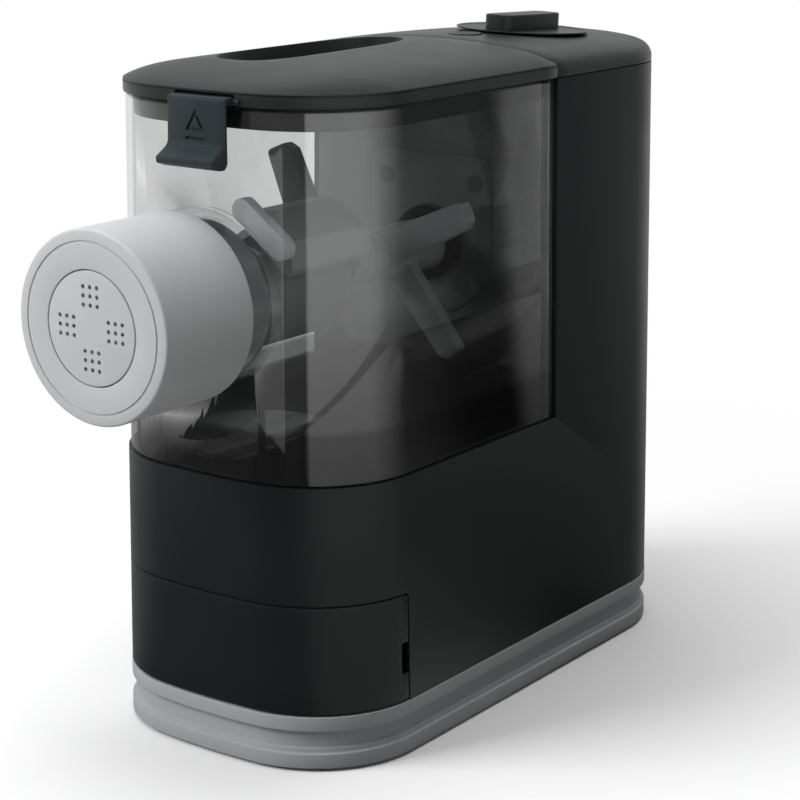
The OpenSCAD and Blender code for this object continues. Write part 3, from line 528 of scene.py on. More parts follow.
def clear_plastic(name, tint, ior, foot_shade, shade_top):
    """Clear thin-walled plastic: what lies behind it shows undistorted, under the surface's own mirror
    gloss. Below shade_top it passes only foot_shade of the light: painted shade that darkens the chamber's
    foot."""
    mat, nt, spot = new_material(name)
    tone = clouded(nt, spot, CLEAR_CLOUD, 2, tint, CLEAR_SPREAD)[1]
    glass = fill(nt, nt.nodes["Principled BSDF"], Base_Color=tone, Roughness=0, IOR=CLEAR_IOR,
                 Transmission_Weight=1.0)
    height = add(nt, "SeparateXYZ", Vector=spot).outputs["Z"]
    # Painted shade: the light passing below shade_top is dimmed, so the chamber is darker towards its foot.
    foot = ranged(nt, height, (shade_top - SHADE_EDGE) * MM, shade_top * MM, foot_shade)
    dimmed = vector_node(nt, "SCALE", tone, Scale=foot)
    passing = add(nt, "BsdfTransparent", Color=dimmed)
    mirror = add(nt, "BsdfAnisotropic", Roughness=0)
    inside = add(nt, "NewGeometry").outputs["Backfacing"]
    fresnel = add(nt, "Fresnel", IOR=math_node(nt, "MULTIPLY_ADD", inside, 1 / ior - ior, ior))
    thin = mixed(nt, fresnel, passing, mirror)
    rays = add(nt, "LightPath").outputs
    fill(nt, nt.nodes["Material Output"], Surface=mixed(nt, rays["Is Diffuse Ray"], thin, glass))
    return mat


BLACK = plastic("black_shell", (0.010, 0.0118, 0.0125), 0.42, specular=0.34)
LID_BLACK = plastic("lid_black", (0.017, 0.019, 0.0195), 0.40, specular=0.42)
INNER_BLACK = plastic("inner_black", (0.012, 0.0125, 0.013), 0.5, specular=0.35)
LATCH = plastic("latch_slate", (0.020, 0.0275, 0.0305), 0.36, specular=0.45)
GREY = plastic("plinth_grey", (0.36, 0.365, 0.375), 0.55, specular=0.35, spread=0.03)
PALE = plastic("cap_grey", (0.50, 0.505, 0.515), 0.5, specular=0.4, grain=0.2, spread=0.025)
KNEADER = plastic("kneader_grey", (0.20, 0.203, 0.205), 0.33, spread=0.06)
# The blade's near-black is the kneader's grey darkened: painted shade where the blade stands in shadow.
SHADED_BLADE = plastic("kneader_blade_shaded", (0.035, 0.037, 0.038), 0.38, specular=0.4, spread=0.06)
# The panel's grey is partly its own dark tone and partly painted light, lifted well above the other inner
# blacks because little light reaches it.
LIT_PANEL = plastic("panel_black_lit", (0.09, 0.092, 0.094), 0.5, specular=0.3)
PAD = plastic("kneader_pad", (0.42, 0.425, 0.43), 0.42, specular=0.45, spread=0.04)
TUBE = plastic("tube_grey", (0.12, 0.122, 0.125), 0.3, spread=0.06)
RUBBER = plastic("rubber", (0.011, 0.011, 0.012), 0.75, specular=0.3, grain=0.3, grain_mm=0.2)
# Painted shade at the chamber's foot: below DECK + 21 the clear plastic passes only 0.52 of the light.
CLEAR = clear_plastic("clear", (0.93, 0.935, 0.935), 1.9, 0.52, DECK + 21)
STEEL = metal("steel", (0.58, 0.585, 0.6), 0.28, stretch=(1, 0.12, 1))
DARK_IRON = metal("magnet", (0.11, 0.11, 0.12), 0.5)
BRASS = metal("brass", (0.70, 0.49, 0.20), 0.25, stretch=(1, 0.15, 1))
COPPER = metal("copper", (0.72, 0.33, 0.15), 0.3, stretch=(3, 0.5, 3), spread=0.2)
CASE_GREY = plastic("gearbox_grey", (0.30, 0.30, 0.31), 0.5)
ACETAL = plastic("acetal", (0.78, 0.76, 0.70), 0.32, spread=0.03)
BOARD = plastic("board", (0.03, 0.15, 0.07), 0.35, spread=0.2)
PARTS = plastic("components", (0.06, 0.10, 0.25), 0.3, spread=0.25)


# --- plinth and housing ---

SCREW_R = 3.2
POST_R, POST_H = 5, 16

BODY = front_stations([SLOT_FRONT, DRAWER_BACK - SEAM - SEAM_R, DRAWER_BACK - SEAM, DRAWER_BACK])
BODY += [("side", TOWER), ("side", (TOWER + REAR) / 2)] + back_stations([VENT_X])
DRAWER_CELL = BODY.index(("corner", on_corner(DRAWER_BACK)))
TOWER_CELL = BODY.index(("side", TOWER))
VENT_CELL = BODY.index(("rear", VENT_X))


def body_shell(heights, keep):
    """Sheet over the body's outline at the given heights, where keep(row, cell, right) says so. A cell is
    counted from the front's middle on either side. Returns the shape and its rows of vertices."""
    shape = Shape()
    rows = [shape.add(ring(BODY, z, skin(z))) for z in heights]
    n = 2 * (len(BODY) - 1)
    for k, (a, b) in enumerate(zip(rows, rows[1:])):
        shape.strip(a, b, lambda i: keep(k, min(i, n - 1 - i), i < n / 2))
    return shape, rows


def plinth():
    """Grey base ring: a foot band, a stepped groove and the band that the housing stands on."""
    inside = 5.6
    top = PLINTH_TOP
    profile = rounded([
        (0, 1.2, 0.8), (0, 7.6, 0.5), (1.3, 7.75, 0.15), (1.5, 9.5, 0.3), (2.5, 9.8, 0.15), (2.7, 16.4, 0.6),
        (0.15, 16.9, 0.7), (0.1, top, 0.45), (inside, top, 0.4), (inside, 1.2, 0.4)])
    shape = hoop([ring(BODY, z, inset) for inset, z in profile])
    finish(build("plinth_ring", shape), "base", GREY, "plinth", slot="plinth_grey")


def seam_corner(edge, top, side):
    """Arc of the drawer's rounded seam corner on one side wall, from the upright edge to the top one."""
    points = arc(edge - SEAM_R, top - SEAM_R, SEAM_R, 0, 90, 5)
    return [(side * (HALF_W - skin(z)), y, z) for y, z in points]


def corner_patch(shape, corners, side):
    """Face over a list of points on a side wall, wound to look outward."""
    found = shape.add(corners)
    shape.faces.append(tuple(found if side > 0 else reversed(found)))


def body_slab(z, inset, back, z0, z1):
    """Slab in the body's outline at height z, in front of the depth back."""
    return slab([(x, y) for x, y, _ in ring(BODY, z, inset) if y < back], z0, z1)


def housing():
    """Black body in one shell: front block with the drawer's opening, and the tower with its vents."""
    shelf = DRAWER_TOP + SEAM
    vents = [z - VENT_HALF for z in VENTS]
    heights = sorted([PLINTH_TOP + 0.3, shelf - SEAM_R, shelf, DECK, LID_Z - 0.2, (DECK + LID_Z) / 2]
                     + vents + [z + VENT_HALF for z in VENTS])

    def keep(row, cell, right):
        z = heights[row]
        if cell < (DRAWER_CELL if z < shelf - 0.1 else TOWER_CELL if z > DECK - 0.1 else 0):
            return False
        return z not in vents or cell < VENT_CELL

    shape, rows = body_shell(heights, keep)
    deck = rows[heights.index(DECK)]
    shape.faces.append(tuple(deck[-TOWER_CELL:] + deck[: TOWER_CELL + 1]))
    for side in (-1, 1):
        x = side * (HALF_W - skin(shelf))
        corner = [(x, y, z) for y, z in ((DRAWER_BACK, shelf - SEAM_R), (DRAWER_BACK, shelf),
                                         (DRAWER_BACK - SEAM_R, shelf))]
        corner_patch(shape, corner + seam_corner(DRAWER_BACK, shelf, side)[1:-1][::-1], side)
    obj = build("housing_shell", shape)
    weld(obj)
    thicken(obj, WALL)
    finish(soften(obj, 0.5), "base", BLACK, "housing")


def housing_inside():
    """Shelf over the drawer, and the screw posts inside the housing."""
    shelf = DRAWER_TOP + SEAM
    posts = [body_slab(shelf, skin(shelf) + WALL + 0.6, TOWER, shelf, shelf + WALL)]
    lo, hi = box("base_screws")
    for x in (lo.x + SCREW_R, hi.x - SCREW_R):
        for y in (lo.y + SCREW_R, TOWER + 14, hi.y - SCREW_R):
            posts.append(rod(x, y, PLINTH_TOP, x, y, PLINTH_TOP + POST_H, POST_R))
    finish(build("housing_posts", merged(*posts)), "base", BLACK)


# --- crowned tops ---


def across(t):
    """Fall of the crown across the width: 0 in the middle, 1 at the edge."""
    return 0.6 * t**2 + 0.4 * t**8


def crown(y, depth):
    """Height of the lid's top: a crown across the width that falls towards the front."""
    side = across(1 - min(depth / (HALF_W - skin(LID_Z)), 1))
    front = (max(TOWER - y, 0) / (TOWER - FRONT)) ** 4
    return CREST - CROWN_H * ((side**4 + front**4) / (1 + front**4)) ** 0.25


def tower_crown(x, y, depth):
    """Height of the tower's top: the lid's crown carried on, with a rolled edge."""
    short = max(TOWER_ROLL - depth, 0)
    roll = TOWER_ROLL - sqrt(TOWER_ROLL**2 - short**2)
    rear = TOWER_FALL * ((y - TOWER) / (REAR - TOWER)) ** 2
    return CREST - CROWN_H * across(abs(x) / (HALF_W - skin(LID_Z))) - rear - roll


def domed(name, outline_at, n_side, edge, depths, height):
    """Closed solid with one flat side. Its outlines start and end on that side, with n_side straight steps
    at either end. The edge is a list of (depth, z), and above it the height gives each point its place."""
    shape = Shape()
    rows = [[(x, y, z) for x, y in outline_at(depth)] for depth, z in edge]
    rows += [[(x, y, height(x, y, depth)) for x, y in outline_at(depth)] for depth in depths]
    found = shape.rows(rows)
    shape.faces.append(tuple(reversed(found[0])))
    last = found[-1]
    far = []
    for i in last[n_side:len(last) - n_side]:
        if not far or abs(shape.verts[i][0] - shape.verts[far[-1]][0]) > 0.02:
            far.append(i)
    xs = [shape.verts[i][0] for i in far]
    cross = []
    for k in range(n_side):
        left, y, z = shape.verts[last[k]]
        middle = shape.add([(x, y, height(x, y, depths[-1] + abs(left) - abs(x))) for x in xs[1:-1]])
        cross.append([last[k]] + middle + [last[-1 - k]])
    cross.append(far)
    for cur, nxt in zip(cross, cross[1:]):
        for i in range(len(cur) - 1):
            shape.faces.append((nxt[i], nxt[i + 1], cur[i + 1], cur[i]))
    shape.faces.append(tuple(cross[0]))
    obj = build(name, shape)
    weld(obj, 0.004)
    return obj


DEPTHS = [1.0, 1.8, 3, 4.6, 6.8, 9.6, 13, 17, 21.5, 26.5, 32, 38]


def lid_solid(name, grow, lower, base):
    """The lid's outer form, or its hollow where grow is above zero."""
    inset = skin(LID_Z) + grow
    back = TOWER - SEAM - grow
    side = [("side", CORNER_Y + (back - CORNER_Y) * (i + 1) / 14) for i in range(14)]
    stations = front_stations() + side

    def outline_at(depth):
        half = [place(s, inset + depth, back, 0) for s in stations]
        return [(-x, y) for x, y in half[:0:-1]] + half

    edge = [(0.35, base), (0.08, base + 0.12), (0, base + 0.4), (0, RIM_TOP - 1.0 - lower)]
    if not grow:
        edge += [(0.5, RIM_TOP - 0.95), (0.5, RIM_TOP - 0.5)]
    edge += [(0.05, RIM_TOP - 0.45 - lower), (0.15, RIM_TOP - 0.15 - lower), (0.45, RIM_TOP - lower)]
    depths = DEPTHS + [CORNER_R - inset - 0.01]
    return domed(name, outline_at, len(side), edge, depths, lambda x, y, d: crown(y, d - 0.4) - lower)


def tower_solid(name, grow, lower, base):
    """The tower top's outer form, or its hollow where grow is above zero."""
    inset = skin(LID_Z) + grow
    front = TOWER + grow
    side = [("side", front + (REAR - REAR_R - front) * i / 8) for i in range(8)]
    stations = side + back_stations([13, 6.5])

    def outline_at(depth):
        half = [place(s, inset + depth, REAR - inset - depth, REAR_R - inset - depth) for s in stations]
        return half + [(-x, y) for x, y in half[-2::-1]]

    edge = [(0, base)]
    depths = [0, 0.16, 0.5, 1.0, 1.7, 2.6] + DEPTHS[3:] + [REAR_R - inset - 0.01]
    return domed(name, outline_at, len(side), edge, depths, lambda x, y, d: tower_crown(x, y, d) - lower)


# --- tower ---

# Places on the panel are x, and z from the drive's axis.
PLATE_R, PLATE_TOP, PLATE_TURN = 31.7, 39, 6
PLATE_GROOVE = 0.5
SHAFT_HOLE_R = 17
PLUGS, PLUG_R = [(-23.3, 27.4), (23.3, 27.4), (-17, -17), (17, -17)], 4.05
WINDOW_AT, WINDOW_R = (39, 45.3), 3.2
SQUARE_AT, SQUARE = (47, 44), 2.2
TOP_WALL = 2.2
KNOB_HOLE_R, BUTTON_HOLE_R = 5.2, 7.55


def plate_shape(grow, y0, y1):
    """Raised plate round the drive: half round below, with two round corners on top."""
    r, top, turn = PLATE_R + grow, AXIS_Z + PLATE_TOP + grow, PLATE_TURN + grow
    outline = arc(0, AXIS_Z, r, 180, 360, 48) + arc(r - turn, top - turn, turn, 0, 90, 8)
    outline += arc(turn - r, top - turn, turn, 90, 180, 8)
    return slab_y(outline, y1, y0)


def tower_panel():
    """Wall between chamber and tower, with the raised plate round the drive."""
    front, back = TOWER - 2, TOWER + WALL + 1
    edge = [(HALF_W - skin(z) - WALL - 0.1, z) for z in (DECK - WALL, LID_Z)]
    wall_y = TOWER + WALL
    obj = build("tower_wall", solid([[(-e, TOWER, z), (e, TOWER, z), (e, wall_y, z), (-e, wall_y, z)]
                                     for e, z in edge]))
    cut(obj, plate_shape(PLATE_GROOVE, TOWER - 1, TOWER + 0.7))
    combine(obj, soften(build("plate", plate_shape(0, TOWER - 0.8, TOWER + 1.2)), 0.35, 2))
    holes = [rod_y(front, back, SHAFT_HOLE_R, 64)]
    holes += [rod_y(front, back, PLUG_R, x=x, z=AXIS_Z + z) for x, z in PLUGS]
    holes.append(rod_y(front, back, WINDOW_R, x=WINDOW_AT[0], z=AXIS_Z + WINDOW_AT[1]))
    x, z = SQUARE_AT[0], AXIS_Z + SQUARE_AT[1]
    holes.append(block(x - SQUARE, x + SQUARE, TOWER - 1, TOWER + 0.6, z - SQUARE, z + SQUARE))
    cut(obj, merged(*holes))
    # The panel's lifted grey stands in part for light that hardly reaches it: painted light.
    finish(soften(obj, 0.18, 2), "base", LIT_PANEL, "tower_panel")


def tower_cap():
    """Top cover of the tower, open to the knob's shaft and the start button."""
    obj = tower_solid("tower_top", 0, 0, LID_Z + 0.3)
    cut(obj, tower_solid("hollow", TOP_WALL, TOP_WALL, LID_Z - 3))
    for node, r in (("knob_shaft", KNOB_HOLE_R), ("start_button", BUTTON_HOLE_R)):
        at = centre(node)
        cut(obj, rod(at.x, at.y, LID_Z, at.x, at.y, CREST + 5, r, 64))
    finish(soften(obj, 0.3, 2, angle=50), "base", LID_BLACK, "tower_cap")


def gland():
    """Cord inlet in the rear wall."""
    lo, hi = box("cord_gland")
    x, z = (lo.x + hi.x) / 2, (lo.z + hi.z) / 2
    wall = REAR - skin(z)
    profile = rounded([(wall - 14, 3.4, 0.3), (REAR - 0.05, 3.4, 0.5), (REAR - 0.05, 7.5, 0.4),
                       (wall - 0.1, 9, 0.2), (wall - 0.1, 5.9, 0), (wall - 14, 5.9, 0.3)])
    finish(build("inlet_gland", along_y(profile, x=x, z=z)), "base", RUBBER, "cord_gland", slot="rubber")


# --- drawer ---

TRAY_R = 7


def drawer():
    """Wrap-round drawer front with its rounded seam corners and the finger slot."""
    base, top = PLINTH_TOP + 0.9, DRAWER_TOP
    edge = DRAWER_BACK - SEAM
    edge_cell, round_cell, slot_cell = [BODY.index(("corner", on_corner(y)))
                                        for y in (edge, edge - SEAM_R, SLOT_FRONT)]

    def keep(row, cell, right):
        if cell >= edge_cell or (row == 3 and cell >= round_cell):
            return False
        return not (row == 1 and cell >= slot_cell and right)

    shape = body_shell([base, *SLOT_Z, top - SEAM_R, top], keep)[0]
    for side in (-1, 1):
        start = (side * (HALF_W - skin(top)), edge - SEAM_R, top - SEAM_R)
        corner_patch(shape, [start] + seam_corner(edge, top, side), side)
    obj = build("drawer_shell", shape)
    weld(obj, 0.06, drop_loose=True)
    thicken(obj, WALL)
    finish(soften(obj, 0.4), "drawer", BLACK, "drawer_front")
    inner = skin(top) + WALL + 0.4
    plates = [body_slab(top, inner, edge - 0.5, z, z + 1.6) for z in (base + 0.6, top - 2.4)]
    tray_front = low("drawer_tray").y
    plates.append(block(-40, 40, tray_front - 2.2, tray_front - 0.1, base + 2.2, top - 2.4))
    finish(build("drawer_frame", merged(*plates)), "drawer", INNER_BLACK)


def tray():
    """Storage tray with rounded corners and a rolled rim."""
    lo, hi = box("drawer_tray")
    cy, half_y = (lo.y + hi.y) / 2, (hi.y - lo.y) / 2
    walls = [(1.5, lo.z), (0.5, lo.z + 0.4), (0.2, lo.z + 1.5), (0, hi.z - 1), (0.3, hi.z - 0.3), (1, hi.z),
             (1.7, hi.z - 0.3), (2, hi.z - 1), (2.2, lo.z + 4), (3.2, lo.z + 2.6), (5, lo.z + 2)]
    rows = [rounded_box(cy, hi.x - i, half_y - i, max(TRAY_R - i, 1), z, 6) for i, z in walls]
    finish(build("tray", solid(rows)), "drawer", INNER_BLACK, "drawer_tray", slot="inner_black")


# --- mixing chamber ---

TROUGH_WALL = 2.1
RIB = 1.8
RIBS_X = (-41.5, -22.8, 22.8, 41.5)
CROSS_RIB = FRONT + 48
COLLAR_R, COLLAR_BORE, REAR_BORE = 36.0, 32.0, 14
COLLAR_RIB_X = 24.4


def chamber_inset(z):
    """The clear chamber stands a little inside the housing and leans with it."""
    return skin(z) + 1.0


def chamber_walls(back, low_z, top_z):
    """Outer walls with rounded lips, and the solid room between them for cutting the trough."""
    stations = closed_stations(6)

    def wall_ring(z, grow):
        return ring(stations, z, chamber_inset(z) + grow, back - grow, max(3.5 - grow, 1))

    lip = 0.5
    profile = [(0, low_z + lip), (0, top_z - lip), (lip, top_z), (WALL - lip, top_z), (WALL, top_z - lip),
               (WALL, low_z + lip), (WALL - lip, low_z), (lip, low_z)]
    room = solid([wall_ring(z, WALL - 0.3) for z in (low_z + 0.2, AXIS_Z + 0.5)])
    return hoop([wall_ring(z, grow) for grow, z in profile]), room


def trough(back, low_z):
    """Half-round trough on its ribs."""
    r = HALF_W - chamber_inset(AXIS_Z) - WALL - 0.3
    outline = arc(0, AXIS_Z, r + TROUGH_WALL, 180, 360, 72) + arc(0, AXIS_Z, r, 360, 180, 72)
    obj = build("trough", slab_y(outline, back + 1, FRONT - 1))
    foot, top = low_z + 0.4, AXIS_Z - 20
    ribs = [block(x - RIB / 2, x + RIB / 2, FRONT, back, foot, top) for x in RIBS_X]
    for rib in ribs + [block(-62, 62, CROSS_RIB, CROSS_RIB + RIB, foot, top)]:
        combine(obj, rib)
    return cut(obj, rod_y(FRONT - 2, back + 2, r + 0.02, 144))


def chamber():
    """Clear kneading chamber: outer walls, half-round trough on ribs, collar for the dough tube."""
    lo, hi = box("mixing_chamber")
    walls, room = chamber_walls(hi.y, lo.z, hi.z)
    obj = build("chamber_wall", walls)
    combine(obj, combine(trough(hi.y, lo.z), room, "INTERSECT"))
    combine(obj, rod_y(lo.y, FRONT + 8, COLLAR_R, 96))
    cut(obj, rod_y(lo.y - 1, FRONT + 9, COLLAR_BORE, 96))
    cut(obj, rod_y(hi.y - 4, hi.y + 1, REAR_BORE, 64))
    finish(obj, "chamber", CLEAR, "mixing_chamber", slot="clear", angle=12)


def collar_ribs():
    """Two upright ribs behind the front wall, below the collar, in black: painted shade for the dark lines
    that the clear ribs show.
    """
    x, top = COLLAR_RIB_X, AXIS_Z - 27
    y = BOW_Y - sqrt((FRONT_R - chamber_inset(top) - WALL) ** 2 - x**2)
    foot = low("mixing_chamber").z + 0.5
    ribs = [block(s - 0.8, s + 0.8, y + 0.3, y + 3.3, foot, top) for s in (-x, x)]
    finish(soften(build("collar_ribs", merged(*ribs)), 0.3, 2), "chamber", INNER_BLACK, slot="inner_black")


def chamber_seal():
    """Rubber ring in the chamber's rear wall, with a groove for the wall's edge."""
    lo, hi = box("chamber_seal")
    front, back, r = lo.y, hi.y, hi.x
    groove_r = 13.9
    profile = rounded([(front, 11.9, 0.2), (back, 11.9, 0.2), (back, r, 0.2), (back - 0.6, r, 0),
                       (back - 0.6, groove_r, 0), (front + 1.4, groove_r, 0), (front + 1.4, r, 0),
                       (front, r, 0.4)])
    obj = build("seal_ring", along_y(profile, 64))
    finish(obj, "chamber", RUBBER, "chamber_seal", slot="rubber")


# --- extruder ---

AXIS_R = 0.001  # a turned solid's radius at its own axis
GROUP_R, STRAND_PITCH, STRAND_R = 12, 3.4, 0.85
TUBE_BORE, DRUM_R, FLANGE_R = 20.0, 23.4, 31.6
LUG_R, LUG_TURN = 32.2, 19
CORE_R, SCREW_TURNS = 8.0, 3.2


def locking_ring():
    """Pale ring with a turned front, a fine groove and a rounded outer edge."""
    front, back = CAP_FRONT, high("locking_ring").y
    bore, seat = CAP_R - 3.6, front + 2.9
    groove = front + 0.55
    profile = rounded([
        (seat, 21.8, 0.1), (front + 0.12, 21.8, 0.35), (front, 31.6, 0.12), (groove, 31.75, 0.1),
        (groove, 32.15, 0.1), (front + 0.05, 32.3, 0.12), (front + 0.5, CAP_R - 0.05, 1.1),
        (back - 0.05, CAP_R, 0.7), (back, bore, 0.5), (seat, bore, 0.3)])
    obj = build("ring_body", along_y(profile, 160))
    finish(obj, "ring", PALE, "locking_ring", slot="cap_grey")


def shaping_disc():
    """Disc with four groups of strand holes."""
    lo, hi = box("shaping_disc")
    front, back, r = lo.y, hi.y, hi.x
    face, step = front + 0.1, front + 3.05
    profile = rounded([(face, AXIS_R, 0), (face, 21.35, 0.4), (step, 21.35, 0), (step, r, 0.4),
                       (back, r, 0.4), (back, AXIS_R, 0)])
    obj = build("disc_plate", along_y(profile, 128))
    weld(obj)
    holes = []
    for turn in range(4):
        a = turn * pi / 2
        for i in (-STRAND_PITCH, 0, STRAND_PITCH):
            for k in (-STRAND_PITCH, 0, STRAND_PITCH):
                x, z = GROUP_R * cos(a) + i, AXIS_Z + GROUP_R * sin(a) + k
                holes.append(rod_y(front - 1, back + 1, STRAND_R, 20, x, z))
    cut(obj, merged(*holes))
    finish(obj, "extruder", PALE, "shaping_disc", slot="cap_grey")


def dough_tube():
    """Tube that the screw turns in, with its intake window and the three lugs for the ring."""
    lo, hi = low("extrusion_tube").y, high("extrusion_tube").y
    thin_r = TUBE_BORE + 3
    profile = rounded([
        (lo, TUBE_BORE, 0.4), (hi, TUBE_BORE, 0.8), (hi, DRUM_R, 1.2), (FRONT + 6, DRUM_R, 0.3),
        (FRONT + 6, FLANGE_R, 0.4), (FRONT - 8, FLANGE_R, 0.4), (FRONT - 8, thin_r, 0.3), (lo, thin_r, 0.4)])
    obj = build("tube_body", along_y(profile, 128))
    cut(obj, block(-16, 16, FRONT + 18, FRONT + 42, AXIS_Z, AXIS_Z + 40))
    lugs = []
    for turn in (0, 120, 240):
        start, end = turn - LUG_TURN, turn + LUG_TURN
        outline = arc(0, AXIS_Z, thin_r - 0.2, start, end, 8) + arc(0, AXIS_Z, LUG_R, end, start, 8)
        lugs.append(slab_y(outline, FRONT - 20, FRONT - 16))
    combine(obj, merged(*lugs))
    finish(soften(obj, 0.3, 2, angle=50), "extruder", TUBE, "extrusion_tube", slot="tube_grey")


def turned(points, y, angle):
    """Points (radius, height from the axis) at depth y, turned up round the axis by the angle."""
    a = radians(angle)
    return [(x * cos(a) - z * sin(a), y, AXIS_Z + x * sin(a) + z * cos(a)) for x, z in points]


def paddle(angle, y0, y1, width, reach):
    """Flat paddle with a chamfered end, from the shaft outward."""
    w = width / 2
    outline = [(2, -w * 1.15), (reach - 3.5, -w * 0.9), (reach, -w * 0.45), (reach, w * 0.75),
               (reach - 1.5, w * 0.9), (2, w * 1.15)]
    return solid([turned(outline, y, angle) for y in (y1, y0)])


def remesh(obj, voxel, rounds=6):
    """Fuses overlapping solids into one moulding with soft inner corners."""
    step = obj.modifiers.new("fuse", "REMESH")
    step.mode = "VOXEL"
    step.voxel_size = voxel * MM
    step = obj.modifiers.new("relax", "SMOOTH")
    step.factor = 0.5
    step.iterations = rounds
    return bake(obj)


SHAFT_R, HUB_R, SOCKET_R = 10.3, 11.4, 6.2
# Angle, front and back as distances in front of the hub, width, reach.
PADDLES = [(25.5, 22, 13.7, 13, 53.5), (-51, 8, 2, 12, 52.5)]
WIPER_ANGLE = 54
HEAD_R = (29.8, 39.4)
HEAD_HALF = 15.7
ARM_OUT, ARM_IN = 37.9, 25
# The arm's section at its front: radius from the axis, and place across the width.
ARM = [(29.6, 12), (34.2, 10.5), (37.9, 5), (37.9, -12), (32.6, -16), (29.2, -19), (25.8, -18.6), (25, -12),
       (26.2, 0), (26.6, 10)]


def wiper_arm(turn, front):
    """Arm that reaches back from the wiper's head over the tube, then turns in to the shaft."""
    # depth, radius of the outer side, radius of the inner side, share of the width
    course = [(front, ARM_OUT, ARM_IN, 1), (turn - 14, ARM_OUT, 25.2, 1), (turn - 7, 36.8, 25.2, 1),
              (turn - 2, 35.2, 24.4, 0.94), (turn + 2, 32.5, 10, 0.86), (turn + 9, 27, 3, 0.74),
              (turn + 18, 19, 3, 0.62), (turn + 27, 11, 3, 0.55)]
    rows = []
    for y, outer, inner, share in course:
        step = (outer - inner) / (ARM_OUT - ARM_IN)
        rows.append(turned([(inner + (r - ARM_IN) * step, t * share) for r, t in ARM], y, WIPER_ANGLE))
    return solid(rows)


def wiper_pad(front):
    """Pale head of the wiper, a rounded bar that runs round the tube."""
    inner, outer = HEAD_R
    rows = []
    for y, inset in ((5.7, 0.7), (5, 0.05), (0.7, 0.05), (0.2, 0.25), (0.05, 0.75)):
        end = (outer - inner) / 2 - inset - 0.05
        lo, hi, half = inner + inset, outer - inset, HEAD_HALF - inset
        outline = rounded([(lo, -half, end), (hi, -half, end), (hi, half, end), (lo, half, end)], 10)
        rows.append(turned(outline, front + y, WIPER_ANGLE))
    finish(build("wiper_pad", solid(rows)), "kneader", PAD, slot="kneader_grey")


def kneading_bar():
    """Kneading shaft with its paddles, hub and the arm that wipes round the tube."""
    front, hub_back = low("kneading_bar").y, high("kneading_bar").y
    bar_front = high("auger_screw").y
    hub_front = TOWER - 24
    profile = [(bar_front, AXIS_R), (bar_front, SHAFT_R), (hub_front - 20, SHAFT_R), (hub_front, HUB_R),
               (hub_back, HUB_R), (hub_back, AXIS_R)]
    obj = build("kneader", merged(
        along_y(profile, 64),
        *[paddle(angle, hub_front - y0, hub_front - y1, *size) for angle, y0, y1, *size in PADDLES],
        wiper_arm(bar_front, front + 5)))
    remesh(obj, 0.55)
    start, end = hub_back - 15, hub_back + 1
    socket = [(start, AXIS_R), (start, SOCKET_R), (end, SOCKET_R), (end, AXIS_R)]
    cut(obj, along_y(socket, 6))
    finish(obj, "kneader", KNEADER, "kneading_bar", slot="kneader_grey")
    # The upright blade gets the darkened copy of the kneader's grey: painted shade.
    blade = build("kneader_blade_shaded", paddle(113, bar_front + 5, bar_front + 11, 14.6, 53.6))
    finish(soften(blade, 0.8, 3), "kneader", SHADED_BLADE, slot="kneader_grey")
    wiper_pad(front)


def auger():
    """Screw that drives the dough forward: a core with one flight."""
    lo, hi = box("auger_screw")
    start, end, reach = lo.y, hi.y, hi.x
    flight = [(CORE_R - 1, -3), (reach - 0.4, -1.3), (reach, 0), (reach - 0.4, 1.3), (CORE_R - 1, 3)]
    steps = 150
    rows = []
    for i in range(steps + 1):
        t = i / steps
        a = 2 * pi * SCREW_TURNS * t
        y = end - 4 - (end - start - 8) * t
        rows.append([(r * cos(a), y + dy, AXIS_Z + r * sin(a)) for r, dy in flight])
    axle = [(start, AXIS_R), (start, 6), (start + 2, CORE_R), (end, CORE_R), (end, AXIS_R)]
    obj = build("screw", merged(solid(rows), along_y(axle, 48)))
    remesh(obj, 0.7, 3)
    finish(obj, "kneader", PAD, "auger_screw", slot="kneader_grey")


# --- lid and latch ---

SLOT_X, SLOT_Y = -19.5, FRONT + 98
SLOT_HALF_W, SLOT_HALF_L = 22.0, 50.0
SLOT_POWER = 2 / 2.7
WELL, WELL_FLOOR = CREST - 7.6, CREST - 9.5
OPENING_W, OPENING_L, OPENING_PITCH = 18, 15, 20
BAY_HALF, BAY_BACK, BAY_TOP = 14.5, FRONT + 7.4, LID_Z + 4.6
MARK_HALF, MARK_H, MARK_LINE, MARK_DEPTH = 4.9, 8, 1.15, 2
MARK_FACE, MARK_FOOT = 5.2, 14  # depth in front of the pin, height over the lip's foot
BAR_HALF, BAR_TOP, BAR_H = 4.6, 2.4, 1.0
LATCH_X = (low("lid_latch").x + high("lid_latch").x) / 2


def slot_outline(grow, steps=72):
    """Oval of the filling slot: a superellipse, grown outward."""
    out = []
    for a in full_turn(steps):
        c, s = cos(a), sin(a)
        out.append((SLOT_X + (SLOT_HALF_W + grow) * copysign(abs(c) ** SLOT_POWER, c),
                    SLOT_Y + (SLOT_HALF_L + grow) * copysign(abs(s) ** SLOT_POWER, s)))
    return out


